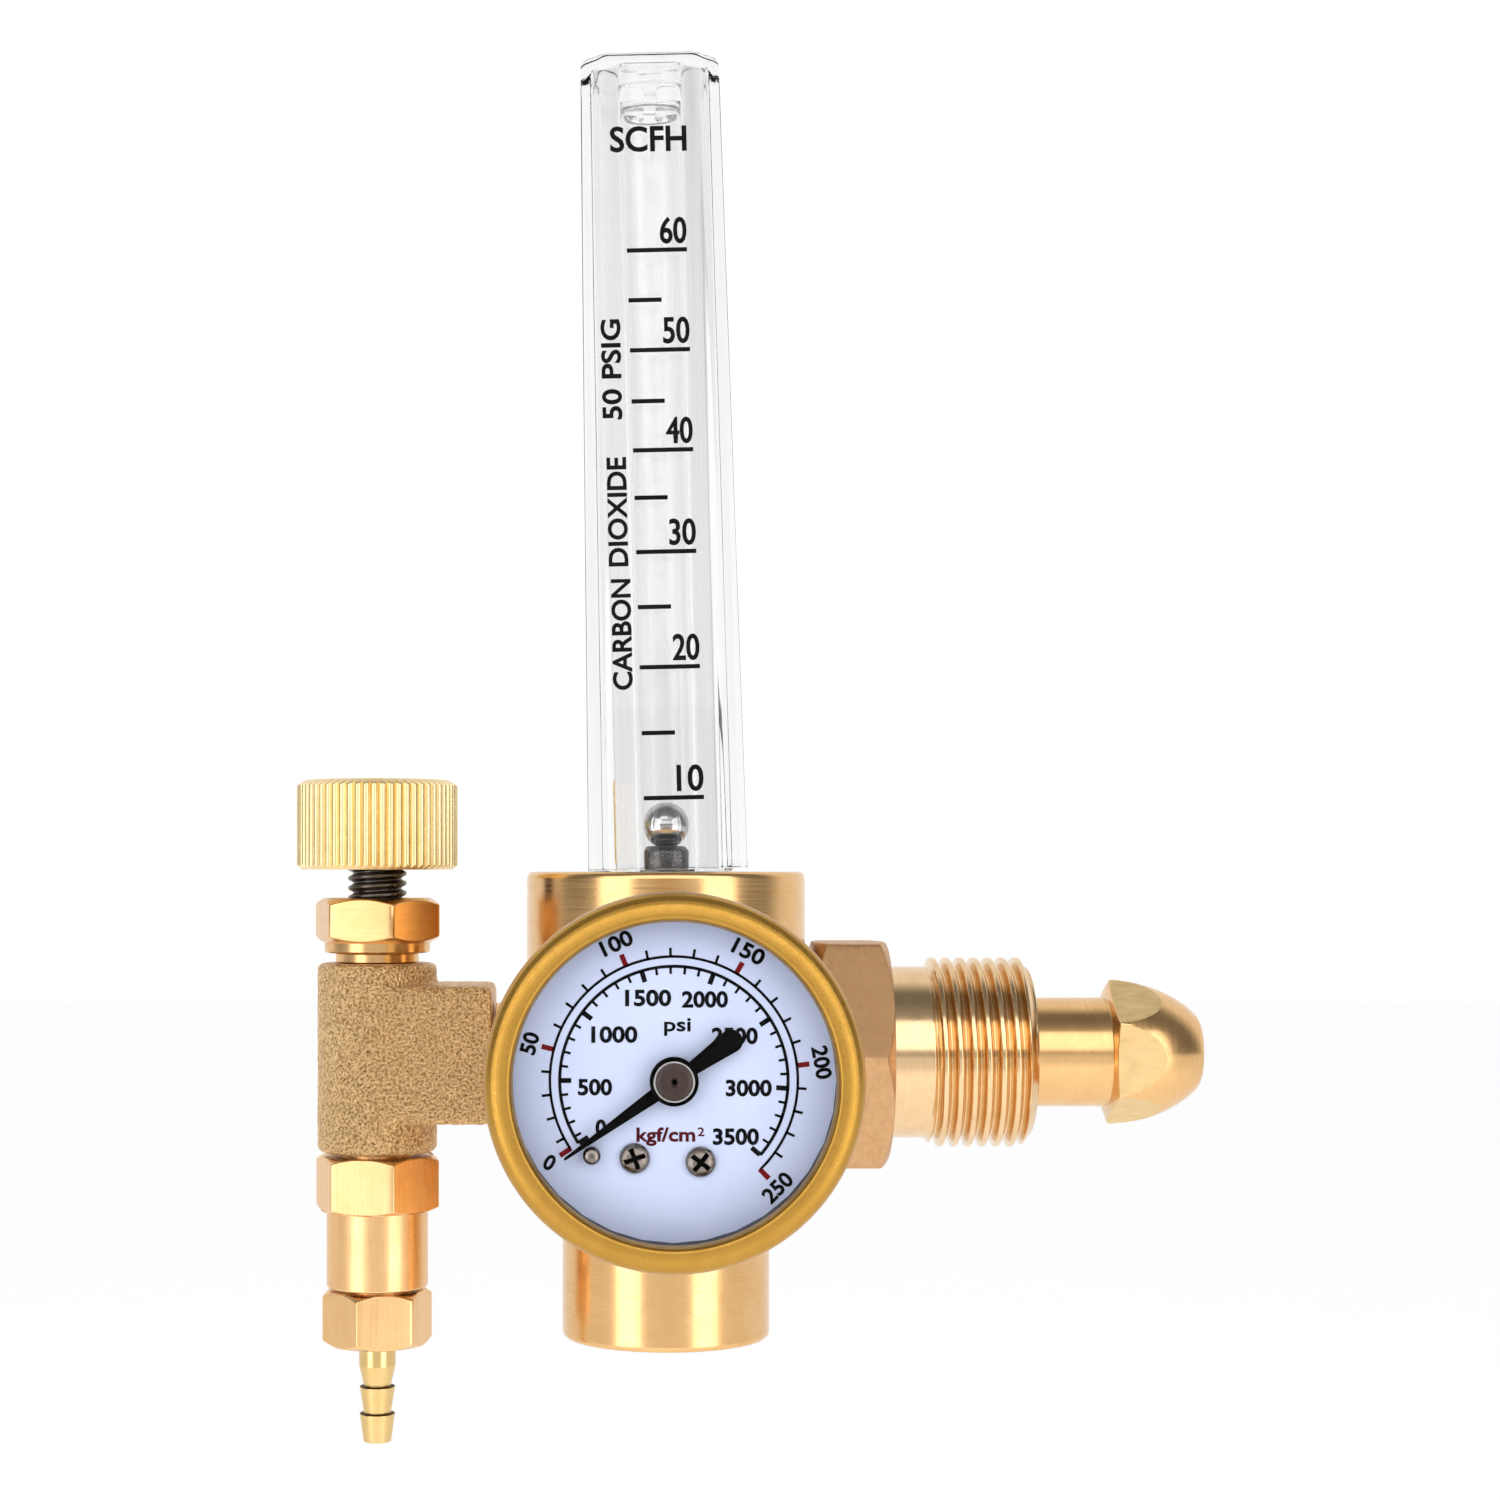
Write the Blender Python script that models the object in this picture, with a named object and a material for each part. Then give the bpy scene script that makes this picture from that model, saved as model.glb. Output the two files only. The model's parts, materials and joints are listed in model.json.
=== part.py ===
"""Carbon dioxide regulator with a flow tube and a pressure gauge.

The main frame has +Z up and +X out of the inlet nose, with its origin at the centre of the nose's tip.
The flow tube and its cover lean a little to the left about the centre of the resting ball.
Each sub-assembly is modelled about its own axis, in millimetres, and hangs on an empty on that axis.
An outline is a list of (radius, height) points along the axis of its sub-assembly.
"""

import math

import bmesh
import bpy
from mathutils import Vector

MM = 0.001
FINE = 32
MEDIUM = 20
COARSE = 12
TINY = 8

# Body and spring bonnet, about the vertical body axis.
NOSE_TIP = 69.0
BODY_RADIUS = 18.0
BODY_TOP = 23.4
BODY_BOTTOM = -17.0
EDGE = 0.8
SOCKET_RADIUS = 8.8
SOCKET_FLOOR = 17.4
PORT_RADIUS = 5.1
RISER_OFFSET = 9.0
RISER_HEIGHT = 12.5
RETURN_OFFSET = 6.2
DRILL = 1.2
BONNET_RADIUS = 13.4
BONNET_BOTTOM = -36.75
CYLINDER_RADIUS = 9.5
PISTON_RADIUS = 9.35
PISTON_TOP = -9.9
PISTON_FLOOR = -14.6
SEAL_WIRE = 0.78
MAIN_SPRING_RADIUS = 6.2
MAIN_SPRING_WIRE = 1.1
MAIN_SPRING_FOOT = -32.2
MAIN_SPRING_TURNS = 5
SMALL_SPRING_RADIUS = 2.3
SMALL_SPRING_WIRE = 0.35
SMALL_SPRING_TURNS = 4

# Inlet, along the horizontal inlet axis.
NUT_FLATS = 28.575
NUT_START = 19.0
NUT_SHOULDER = 28.4
THREAD_START = 33.6
THREAD_END = 46.8
THREAD_CREST = 12.25
THREAD_ROOT = 11.2
THREAD_PITCH = 1.814
NIPPLE_RADIUS = 7.05
NOSE_START = 56.9
NOSE_FLATS = 16.35
NOSE_TURN = 3.5
NOSE_RADIUS = 9.45
NOSE_CENTRE = 56.1
NOSE_LENGTH = 14.6
NOSE_TIP_RADIUS = 4.3

# Flow tube, about the body axis.
COVER_BASE_HALF = 10.2
COVER_TOP_HALF = 8.9
COVER_TOP = 127.4
COVER_CORNER = 2.8
COVER_TOP_CORNER = 2.5
COVER_BEVEL = 1.2
BORE_FOOT_HALF = 6.9
BORE_FOOT_CORNER = 3.4
BORE_TOP_HALF = 6.4
BORE_TOP_CORNER = 2.6
SPIGOT_RADIUS = 8.5
CAP_RADIUS = 6.1
CAP_SLOT_HALF = 0.8
CAP_FOOT = 121.6
CAP_CROWN = 126.0
TUBE_RADIUS = 5.3
TUBE_LEAN = 1.3
BALL_RADIUS = 3.0
BALL_HEIGHT = 29.37
NOZZLE_RADIUS = 3.0
NOZZLE_FOOT_RADIUS = 2.85
NOZZLE_TOP = 26.7

# Needle valve, about its vertical axis.
VALVE_OFFSET = -37.45
TEE_RADIUS = 7.7
TEE_TOP = 11.6
TEE_BOTTOM = -12.9
BRANCH_HALF = 8.85
BRANCH_END = 15.15
STEM_RADIUS = 3.8
KNOB_RADIUS = 10.4
KNOB_LOW = 23.65
KNOB_HIGH = 35.2
KNOB_FLUTES = 48
FLUTE_DEPTH = 0.35
VALVE_FLATS = 14.6
VALVE_FLATS_TURN = -71.5

# Outlet below the valve, about the same axis.
ADAPTER_FLATS = 14.4
ADAPTER_FLATS_TURN = -70.7
OUTLET_FLATS = 12.5
OUTLET_FLATS_TURN = -106.2
BARB_STEM = 2.385
BARB_CREST = 2.3
BARB_ROOT = 1.79
BARB_BORE = 1.1
BARB_END = -50.5

# Pressure gauge, along its horizontal axis, measured forwards from the body axis.
CASE_RADIUS = 20.0
CASE_BACK = 26.5
CASE_FRONT = 48.3
CASE_WALL = 0.8
LENS_RADIUS = 19.9
LENS_BACK = 48.5
LENS_THICKNESS = 1.6
BEZEL_RADIUS = 21.2
BEZEL_FRONT = 52.0
BEZEL_OPENING = 17.85
DIAL_FRONT = 45.8
DIAL_THICKNESS = 0.5
SCREW_PLACES = ((-4.4, -8.7), (3.0, -9.1))
STOP_PLACE = (-9.2, -8.3)
POINTER_REST = 215.4
POINTER_TIP = 15.1
POINTER_TAIL = 9.1
MODULE = 0.3
PINION_TEETH = 8
SECTOR_TEETH = 56
SECTOR_DIRECTION = -100.0
SECTOR_SWEEP = 37.2
BACKLASH = 0.05
TAIL_LENGTH = 5.0
TAIL_DIRECTION = 127.0
TIP_PLACE = (-10.6, -8.2)
BOURDON_RADIUS = 13.5
BOURDON_FIRST = -71.0
BOURDON_LAST = 203.0
PLATE_BACK = 33.5
PLATE_FRONT = 43.9
PILLARS = ((4.6, 4.6), (-4.6, 4.6), (4.3, -8.2), (-5.1, -10.7))
PLATE_LOW = (-6.0, -11.5)
PLATE_HIGH = (6.0, 6.2)

LOOKS = {
    "brass": ((0.76, 0.53, 0.27), 0.30, 1.0, 1.0),
    "pale_brass": ((0.86, 0.70, 0.38), 0.28, 1.0, 1.0),
    "cast_brass": ((0.66, 0.45, 0.22), 0.55, 1.0, 1.0),
    "gold_paint": ((0.60, 0.40, 0.10), 0.35, 0.8, 1.0),
    "steel": ((0.55, 0.55, 0.56), 0.30, 1.0, 1.0),
    "dark_steel": ((0.08, 0.07, 0.07), 0.35, 0.9, 1.0),
    "bronze": ((0.45, 0.28, 0.15), 0.60, 1.0, 1.0),
    "clear": ((0.95, 0.97, 0.98), 0.05, 0.0, 0.3),
    "rubber": ((0.03, 0.03, 0.03), 0.80, 0.0, 1.0),
    "nylon": ((0.85, 0.84, 0.80), 0.50, 0.0, 1.0),
    "dial_white": ((0.75, 0.79, 0.90), 0.50, 0.0, 1.0),
    "black_paint": ((0.02, 0.02, 0.02), 0.50, 0.0, 1.0),
    "brown_cap": ((0.12, 0.08, 0.06), 0.40, 0.3, 1.0),
}


def clear_scene():
    for item in list(bpy.data.objects):
        bpy.data.objects.remove(item, do_unlink=True)


def make_material(name, look):
    colour, roughness, metallic, alpha = LOOKS[look]
    material = bpy.data.materials.new(name)
    material.use_nodes = True
    shader = material.node_tree.nodes["Principled BSDF"]
    shader.inputs["Base Color"].default_value = (*colour, 1.0)
    shader.inputs["Roughness"].default_value = roughness
    shader.inputs["Metallic"].default_value = metallic
    shader.inputs["Alpha"].default_value = alpha
    return material


def make_axis(name, location, rotation=(0.0, 0.0, 0.0)):
    axis = bpy.data.objects.new(name, None)
    axis.location = Vector(location) * MM
    axis.rotation_euler = [math.radians(angle) for angle in rotation]
    bpy.context.collection.objects.link(axis)
    return axis


def finish_mesh(name, bm, look, parent):
    """Turn a bmesh into an object; a piece with no look is a cutter."""
    bmesh.ops.remove_doubles(bm, verts=bm.verts, dist=1e-7)
    bmesh.ops.recalc_face_normals(bm, faces=bm.faces)
    mesh = bpy.data.meshes.new(name)
    bm.to_mesh(mesh)
    bm.free()
    mesh.shade_smooth()
    mesh.set_sharp_from_angle(angle=math.radians(30.0))
    piece = bpy.data.objects.new(name, mesh)
    piece.parent = parent
    bpy.context.collection.objects.link(piece)
    if look is None:
        piece.hide_render = True
        piece.display_type = "WIRE"
    else:
        mesh.materials.append(make_material(name, look))
    return piece


def turned(name, outline, segments, look, parent):
    """A turned solid about local Z; an outline clear of the axis is closed into a ring."""
    bm = bmesh.new()
    verts = [bm.verts.new((radius * MM, 0.0, height * MM)) for radius, height in outline]
    edges = [bm.edges.new(pair) for pair in zip(verts, verts[1:])]
    if min(radius for radius, height in outline) > 0.0:
        edges.append(bm.edges.new((verts[-1], verts[0])))
    bmesh.ops.spin(bm, geom=verts + edges, cent=(0, 0, 0), axis=(0, 0, 1),
                   angle=math.tau, steps=segments, use_merge=True)
    return finish_mesh(name, bm, look, parent)


def plate(name, points, low, high, look, parent):
    """A flat plate: a polygon in local X and Y between two heights."""
    bm = bmesh.new()
    face = bm.faces.new([bm.verts.new((x * MM, y * MM, low * MM)) for x, y in points])
    sides = bmesh.ops.extrude_face_region(bm, geom=[face])
    top = [item for item in sides["geom"] if isinstance(item, bmesh.types.BMVert)]
    bmesh.ops.translate(bm, verts=top, vec=(0.0, 0.0, (high - low) * MM))
    return finish_mesh(name, bm, look, parent)


def box(name, low, high, look, parent):
    points = [(low[0], low[1]), (high[0], low[1]), (high[0], high[1]), (low[0], high[1])]
    return plate(name, points, low[2], high[2], look, parent)


def rod(name, radius, start, direction, length, segments, look, parent):
    """A plain cylinder from a point along a direction."""
    piece = turned(name, [(0.0, 0.0), (radius, 0.0), (radius, length), (0.0, length)],
                   segments, look, parent)
    piece.location = Vector(start) * MM
    piece.rotation_mode = "QUATERNION"
    piece.rotation_quaternion = Vector(direction).to_track_quat("Z", "Y")
    return piece


def combine(target, tool, operation="DIFFERENCE"):
    modifier = target.modifiers.new(tool.name, "BOOLEAN")
    modifier.operation = operation
    modifier.object = tool


def drill(target, radius, start, direction, length, segments=TINY):
    name = f"{target.name}_drill_{len(target.modifiers) + 1}"
    combine(target, rod(name, radius, start, direction, length, segments, None, target.parent))


def trim_to_hexagon(target, across_flats, low, high, turn):
    """Trim a turned piece to a hexagon between two heights; turn places a corner, in degrees."""
    corner = across_flats / math.sqrt(3.0)
    outline = [(corner, low), (corner * 1.6, low), (corner * 1.6, high), (corner, high)]
    cutter = turned(f"{target.name}_hexagon_{low:.0f}", outline, 6, None, target.parent)
    cutter.rotation_euler.z = math.radians(turn)
    combine(target, cutter)


def torus(name, major, minor, height, look, parent):
    outline = []
    for step in range(TINY):
        angle = math.tau * step / TINY
        outline.append((major + minor * math.cos(angle), height + minor * math.sin(angle)))
    return turned(name, outline, MEDIUM, look, parent)


def coil(name, radius, wire, low, high, turns, look, parent):
    """A wire swept along a helix, with flat ends."""
    steps = turns * 10
    sides = 6
    bm = bmesh.new()
    rings = []
    for step in range(steps + 1):
        angle = math.tau * turns * step / steps
        height = low + (high - low) * step / steps
        outward = Vector((math.cos(angle), math.sin(angle), 0.0))
        centre = outward * radius + Vector((0.0, 0.0, height))
        ring = []
        for side in range(sides):
            around = math.tau * side / sides
            offset = outward * math.cos(around) + Vector((0.0, 0.0, math.sin(around)))
            ring.append(bm.verts.new((centre + offset * wire) * MM))
        rings.append(ring)
    for first, second in zip(rings, rings[1:]):
        for side in range(sides):
            after = (side + 1) % sides
            bm.faces.new((first[side], first[after], second[after], second[side]))
    bm.faces.new(rings[0])
    bm.faces.new(rings[-1])
    return finish_mesh(name, bm, look, parent)


def arc(centre, radius, first, last, steps):
    """Points along an arc, angles in degrees."""
    points = []
    for step in range(steps + 1):
        angle = math.radians(first + (last - first) * step / steps)
        points.append((centre[0] + radius * math.cos(angle), centre[1] + radius * math.sin(angle)))
    return points


def tapered_bar(start, end, start_radius, end_radius, steps=6):
    """The outline of a bar with two round ends."""
    heading = math.degrees(math.atan2(end[1] - start[1], end[0] - start[0]))
    back = arc(start, start_radius, heading + 90.0, heading + 270.0, steps)
    front = arc(end, end_radius, heading - 90.0, heading + 90.0, steps)
    return back + front


def make_body(parent):
    outline = [(0.0, 8.0), (4.5, 8.0), (4.5, -2.8), (5.4, -2.8), (5.4, -6.0), (11.0, -6.0), (11.0, -8.5),
               (12.0, -8.5), (12.0, BODY_BOTTOM), (BODY_RADIUS - EDGE, BODY_BOTTOM),
               (BODY_RADIUS, BODY_BOTTOM + EDGE), (BODY_RADIUS, BODY_TOP - EDGE),
               (BODY_RADIUS - EDGE, BODY_TOP), (SOCKET_RADIUS, BODY_TOP), (SOCKET_RADIUS, SOCKET_FLOOR),
               (2.6, SOCKET_FLOOR), (2.6, 10.8), (0.0, 10.8)]
    body = turned("body", outline, FINE, "brass", parent)
    drill(body, 6.7, (9.3, 0, 0), (1, 0, 0), 12.0, MEDIUM)
    drill(body, 1.8, (3.5, 0, 0), (1, 0, 0), 7.0)
    drill(body, PORT_RADIUS, (-10.5, 0, 0), (-1, 0, 0), 10.0, COARSE)
    drill(body, DRILL, (-5.5, 0, 0), (-1, 0, 0), 6.0)
    drill(body, 0.7, (-RETURN_OFFSET, 0, -0.8), (0, 0, 1), 20.0, 8)
    drill(body, DRILL, (0, RISER_OFFSET, -7.0), (0, 0, 1), RISER_HEIGHT + 7.0 + DRILL)
    drill(body, DRILL, (0, 0, RISER_HEIGHT), (0, 1, 0), 16.0)
    drill(body, 2.0, (0, 13.5, RISER_HEIGHT), (0, 1, 0), 6.0)
    drill(body, PORT_RADIUS, (0, -9.5, 0), (0, -1, 0), 10.0, COARSE)
    drill(body, DRILL, (0, -3.8, 0), (0, -1, 0), 7.0)
    rod("passage_plug", 1.85, (0, 13.8, RISER_HEIGHT), (0, 1, 0), 3.6, TINY, "brass", parent)


def make_seat_parts(parent):
    turned("valve_seat", [(1.3, -5.9), (5.2, -5.9), (5.2, -3.4), (2.2, -3.4), (1.8, -3.0), (1.3, -3.0)],
           COARSE, "brass", parent)
    turned("poppet", [(0.0, -9.78), (0.8, -9.78), (0.8, -1.2), (3.4, -1.2), (3.4, 2.5), (1.3, 2.5),
                      (1.3, 4.5), (0.0, 4.5)], TINY, "steel", parent)
    turned("seat_disc", [(1.0, -2.1), (3.0, -2.1), (3.0, -1.35), (1.0, -1.35)], COARSE, "nylon", parent)
    coil("poppet_spring", SMALL_SPRING_RADIUS, SMALL_SPRING_WIRE, 3.0, 7.5, SMALL_SPRING_TURNS, "steel",
         parent)


def make_bonnet(parent):
    outline = [(1.0, BONNET_BOTTOM), (BONNET_RADIUS - 1.0, BONNET_BOTTOM),
               (BONNET_RADIUS - 0.3, BONNET_BOTTOM + 0.3), (BONNET_RADIUS, BONNET_BOTTOM + 1.0),
               (BONNET_RADIUS, BODY_BOTTOM - 0.3), (11.8, BODY_BOTTOM - 0.3), (11.8, -9.0),
               (CYLINDER_RADIUS, -9.0), (CYLINDER_RADIUS, -33.5), (1.0, -33.5)]
    turned("bonnet", outline, FINE, "brass", parent)
    turned("piston", [(0.0, PISTON_TOP), (8.9, PISTON_TOP), (PISTON_RADIUS, PISTON_TOP - 0.4),
                      (PISTON_RADIUS, -11.1), (7.7, -11.1), (7.7, -12.9), (PISTON_RADIUS, -12.9),
                      (PISTON_RADIUS, PISTON_FLOOR), (3.6, PISTON_FLOOR), (3.6, -17.5), (0.0, -17.5)],
           MEDIUM, "brass", parent)
    torus("piston_o_ring", 8.58, SEAL_WIRE, -12.0, "rubber", parent)
    coil("main_spring", MAIN_SPRING_RADIUS, MAIN_SPRING_WIRE, MAIN_SPRING_FOOT, PISTON_FLOOR - 1.25,
         MAIN_SPRING_TURNS, "steel", parent)


def nose_outline():
    """The bullet front of the nipple, half an ellipse, from its back edge to its flat tip."""
    corner = NOSE_FLATS / math.sqrt(3.0)
    first = NOSE_START + 0.6
    last = NOSE_TIP - 0.4
    points = [(NIPPLE_RADIUS, NOSE_START), (corner, first)]
    for step in range(8):
        height = first + (last - first) * math.sin(math.pi * step / 14)
        along = (height - NOSE_CENTRE) / NOSE_LENGTH
        points.append((NOSE_RADIUS * math.sqrt(1.0 - along * along), height))
    points.append((NOSE_TIP_RADIUS, NOSE_TIP))
    return points


def thread_outline():
    """Ridges of the inlet thread, each one a crest and a root."""
    points = []
    ridges = int((THREAD_END - THREAD_START) / THREAD_PITCH)
    for ridge in range(ridges):
        start = THREAD_START + 0.2 + ridge * THREAD_PITCH
        points.append((THREAD_ROOT, start))
        points.append((THREAD_CREST, start + THREAD_PITCH / 2))
    return points


def make_inlet(parent):
    bore = [(1.6, NOSE_TIP), (1.6, 14.5), (2.3, 14.5), (2.3, 9.6)]
    shank = [(6.5, 9.6), (6.5, 18.2), (NIPPLE_RADIUS, 18.2)]
    nipple = turned("inlet_nipple", shank + nose_outline() + bore, MEDIUM, "brass", parent)
    trim_to_hexagon(nipple, NOSE_FLATS, NOSE_START - 1.0, NOSE_TIP + 1.0, NOSE_TURN)
    turned("inlet_filter", [(0.0, 14.2), (2.1, 14.2), (2.1, 9.9), (1.2, 9.9), (1.2, 13.2), (0.0, 13.2)],
           TINY, "bronze", parent)

    corner = NUT_FLATS / math.sqrt(3.0)
    hexagon = [(14.4, NUT_START), (corner, NUT_START + 1.2), (corner, NUT_SHOULDER - 1.4),
               (14.2, NUT_SHOULDER)]
    neck = [(11.1, NUT_SHOULDER), (11.1, THREAD_START)]
    end = [(THREAD_ROOT, THREAD_END - 0.6), (10.6, THREAD_END)]
    groove = [(7.35, THREAD_END), (7.35, 23.7), (8.4, 23.7), (8.4, 22.0), (7.35, 22.0), (7.35, NUT_START)]
    nut = turned("inlet_nut", hexagon + neck + thread_outline() + end + groove, MEDIUM, "brass", parent)
    trim_to_hexagon(nut, NUT_FLATS, NUT_START - 1.0, NUT_SHOULDER + 0.2, 30.0)
    torus("nut_ring", 7.77, 0.5, 22.85, "rubber", parent)


def octagon(half, corner):
    """A square with its corners cut off."""
    short = half - corner
    return [(half, -short), (half, short), (short, half), (-short, half),
            (-half, short), (-half, -short), (-short, -half), (short, -half)]


def octagon_loft(name, sections, look, parent):
    """A solid through octagons, each a height, a half width and a corner cut."""
    bm = bmesh.new()
    rings = []
    for height, half, corner in sections:
        rings.append([bm.verts.new(Vector((x, y, height)) * MM) for x, y in octagon(half, corner)])
    for lower, upper in zip(rings, rings[1:]):
        for side in range(8):
            after = (side + 1) % 8
            bm.faces.new((lower[side], lower[after], upper[after], upper[side]))
    bm.faces.new(rings[0])
    bm.faces.new(rings[-1])
    return finish_mesh(name, bm, look, parent)


def make_cover(parent):
    """The clear cover: a tapered square tube, closed at the top, on a round spigot."""
    outside = [(BODY_TOP + 0.25, COVER_BASE_HALF, COVER_CORNER),
               (COVER_TOP - COVER_BEVEL, COVER_TOP_HALF, COVER_TOP_CORNER),
               (COVER_TOP, COVER_TOP_HALF - COVER_BEVEL, COVER_TOP_CORNER - 0.5)]
    inside = [(SOCKET_FLOOR + 0.6, BORE_FOOT_HALF, BORE_FOOT_CORNER),
              (CAP_FOOT + 1.8, BORE_TOP_HALF, BORE_TOP_CORNER),
              (CAP_CROWN + 0.3, BORE_TOP_HALF, BORE_TOP_CORNER)]
    cover = octagon_loft("flow_cover", outside, "clear", parent)
    spigot = rod("cover_spigot", SPIGOT_RADIUS, (0, 0, SOCKET_FLOOR + 1.5), (0, 0, 1), 8.0, MEDIUM, None,
                 parent)
    combine(cover, spigot, "UNION")
    combine(cover, octagon_loft("cover_bore", inside, None, parent))


def make_flow_tube(parent):
    turned("flow_tube", [(3.25, 18.2), (TUBE_RADIUS, 18.2), (TUBE_RADIUS, CAP_FOOT - 0.2),
                         (4.0, CAP_FOOT - 0.2)], MEDIUM, "clear", parent)
    shoulder = CAP_FOOT + 2.4
    cap = turned("tube_cap", [(0.0, CAP_FOOT), (5.35, CAP_FOOT), (5.35, shoulder), (CAP_RADIUS, shoulder),
                              (CAP_RADIUS, CAP_CROWN), (0.0, CAP_CROWN)], MEDIUM, "clear", parent)
    low = CAP_FOOT - 0.3
    high = CAP_FOOT + 1.2
    combine(cap, box("cap_slot_across", (-7, -CAP_SLOT_HALF, low), (7, CAP_SLOT_HALF, high), None, parent))
    combine(cap, box("cap_slot_along", (-CAP_SLOT_HALF, -7, low), (CAP_SLOT_HALF, 7, high), None, parent))
    turned("tube_gasket", [(3.4, 17.55), (5.2, 17.55), (5.2, 18.0), (3.4, 18.0)], COARSE, "rubber", parent)
    torus("cover_o_ring", 7.9, 0.55, 18.15, "rubber", parent)
    make_ball(parent)


def make_nozzle(parent):
    turned("flow_nozzle", [(1.5, 14.6), (2.4, 14.6), (2.4, SOCKET_FLOOR + 0.3),
                           (NOZZLE_FOOT_RADIUS, SOCKET_FLOOR + 0.3), (NOZZLE_RADIUS, NOZZLE_TOP - 2.5),
                           (NOZZLE_RADIUS, NOZZLE_TOP - 0.6), (2.5, NOZZLE_TOP), (1.5, NOZZLE_TOP)],
           COARSE, "dark_steel", parent)


def make_ball(parent):
    ball_axis = make_axis("ball_axis", (0, 0, BALL_HEIGHT))
    ball_axis.parent = parent
    outline = [(BALL_RADIUS * math.sin(math.pi * step / 12), -BALL_RADIUS * math.cos(math.pi * step / 12))
               for step in range(13)]
    outline[0] = (0.0, -BALL_RADIUS)
    outline[-1] = (0.0, BALL_RADIUS)
    turned("flow_ball", outline, MEDIUM, "steel", ball_axis)


def make_tee(parent):
    tee = turned("valve_tee", [(0.0, TEE_BOTTOM), (TEE_RADIUS - 0.6, TEE_BOTTOM),
                               (TEE_RADIUS, TEE_BOTTOM + 0.6), (TEE_RADIUS, TEE_TOP - 0.6),
                               (TEE_RADIUS - 0.6, TEE_TOP), (0.0, TEE_TOP)], MEDIUM, "cast_brass", parent)
    branch = box("tee_branch", (0, -TEE_RADIUS + 0.1, -BRANCH_HALF),
                 (BRANCH_END, TEE_RADIUS - 0.1, BRANCH_HALF), None, parent)
    bevel = branch.modifiers.new("Bevel", "BEVEL")
    bevel.width = 0.7 * MM
    combine(tee, branch, "UNION")
    drill(tee, 5.2, (0, 0, 4.6), (0, 0, 1), 9.0, COARSE)
    drill(tee, 3.3, (0, 0, -2.5), (0, 0, 1), 8.0, COARSE)
    drill(tee, 1.25, (0, 0, -7.0), (0, 0, 1), 6.0)
    drill(tee, PORT_RADIUS, (0, 0, -6.0), (0, 0, -1), 9.0, COARSE)
    drill(tee, 1.6, (1.0, 0, 0), (1, 0, 0), 10.0)
    drill(tee, PORT_RADIUS, (9.5, 0, 0), (1, 0, 0), 8.0, COARSE)


def make_valve_link(parent):
    turned("valve_link", [(1.5, -27.3), (4.8, -27.3), (4.8, -22.0), (6.4, -22.0), (6.4, -18.5),
                          (4.8, -18.5), (4.8, -10.8), (1.5, -10.8)], COARSE, "brass", parent)


def make_valve_bonnet(parent):
    corner = VALVE_FLATS / math.sqrt(3.0)
    hexagon = [(6.85, 14.2), (corner, 15.1), (corner, 19.1), (6.9, 20.0)]
    bore = [(3.95, 20.0), (3.95, 11.8), (3.1, 11.8), (3.1, 5.0)]
    lower = [(4.9, 5.0), (4.9, 11.6), (5.4, 11.6), (5.4, 12.9), (6.85, 12.9)]
    piece = turned("valve_bonnet", lower + hexagon + bore, MEDIUM, "brass", parent)
    trim_to_hexagon(piece, VALVE_FLATS, 14.0, 20.5, VALVE_FLATS_TURN)
    turned("valve_stem", [(0.0, -1.5), (0.25, -1.5), (1.5, 2.6), (3.0, 3.6), (3.0, 6.2), (2.1, 6.2),
                          (2.1, 8.0), (3.0, 8.0), (3.0, 13.6), (STEM_RADIUS, 14.2), (STEM_RADIUS, 31.2),
                          (0.0, 31.2)], COARSE, "dark_steel", parent)
    torus("stem_o_ring", 2.6, 0.44, 7.1, "rubber", parent)


def make_knob(parent):
    """A knob with vertical flutes, bevelled at both rims and bored for the stem."""
    bm = bmesh.new()
    rings = []
    levels = [(KNOB_LOW, 0.4), (KNOB_LOW + 0.4, 0.0), (KNOB_HIGH - 0.6, 0.0), (KNOB_HIGH, 0.6)]
    for height, inset in levels:
        ring = []
        for step in range(KNOB_FLUTES * 2):
            angle = math.pi * step / KNOB_FLUTES
            radius = min(KNOB_RADIUS - FLUTE_DEPTH * (step % 2), KNOB_RADIUS - inset)
            place = Vector((radius * math.cos(angle), radius * math.sin(angle), height))
            ring.append(bm.verts.new(place * MM))
        rings.append(ring)
    for lower, upper in zip(rings, rings[1:]):
        for side in range(KNOB_FLUTES * 2):
            after = (side + 1) % (KNOB_FLUTES * 2)
            bm.faces.new((lower[side], lower[after], upper[after], upper[side]))
    bm.faces.new(rings[0])
    bm.faces.new(rings[-1])
    knob = finish_mesh("valve_knob", bm, "pale_brass", parent)
    drill(knob, 4.0, (0, 0, KNOB_LOW - 2.0), (0, 0, 1), 9.6, COARSE)
    drill(knob, 1.5, (0, 3.0, 27.5), (0, 1, 0), 9.0)
    rod("knob_screw", 1.3, (0, 4.0, 27.5), (0, 1, 0), 5.2, TINY, "dark_steel", parent)


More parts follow.
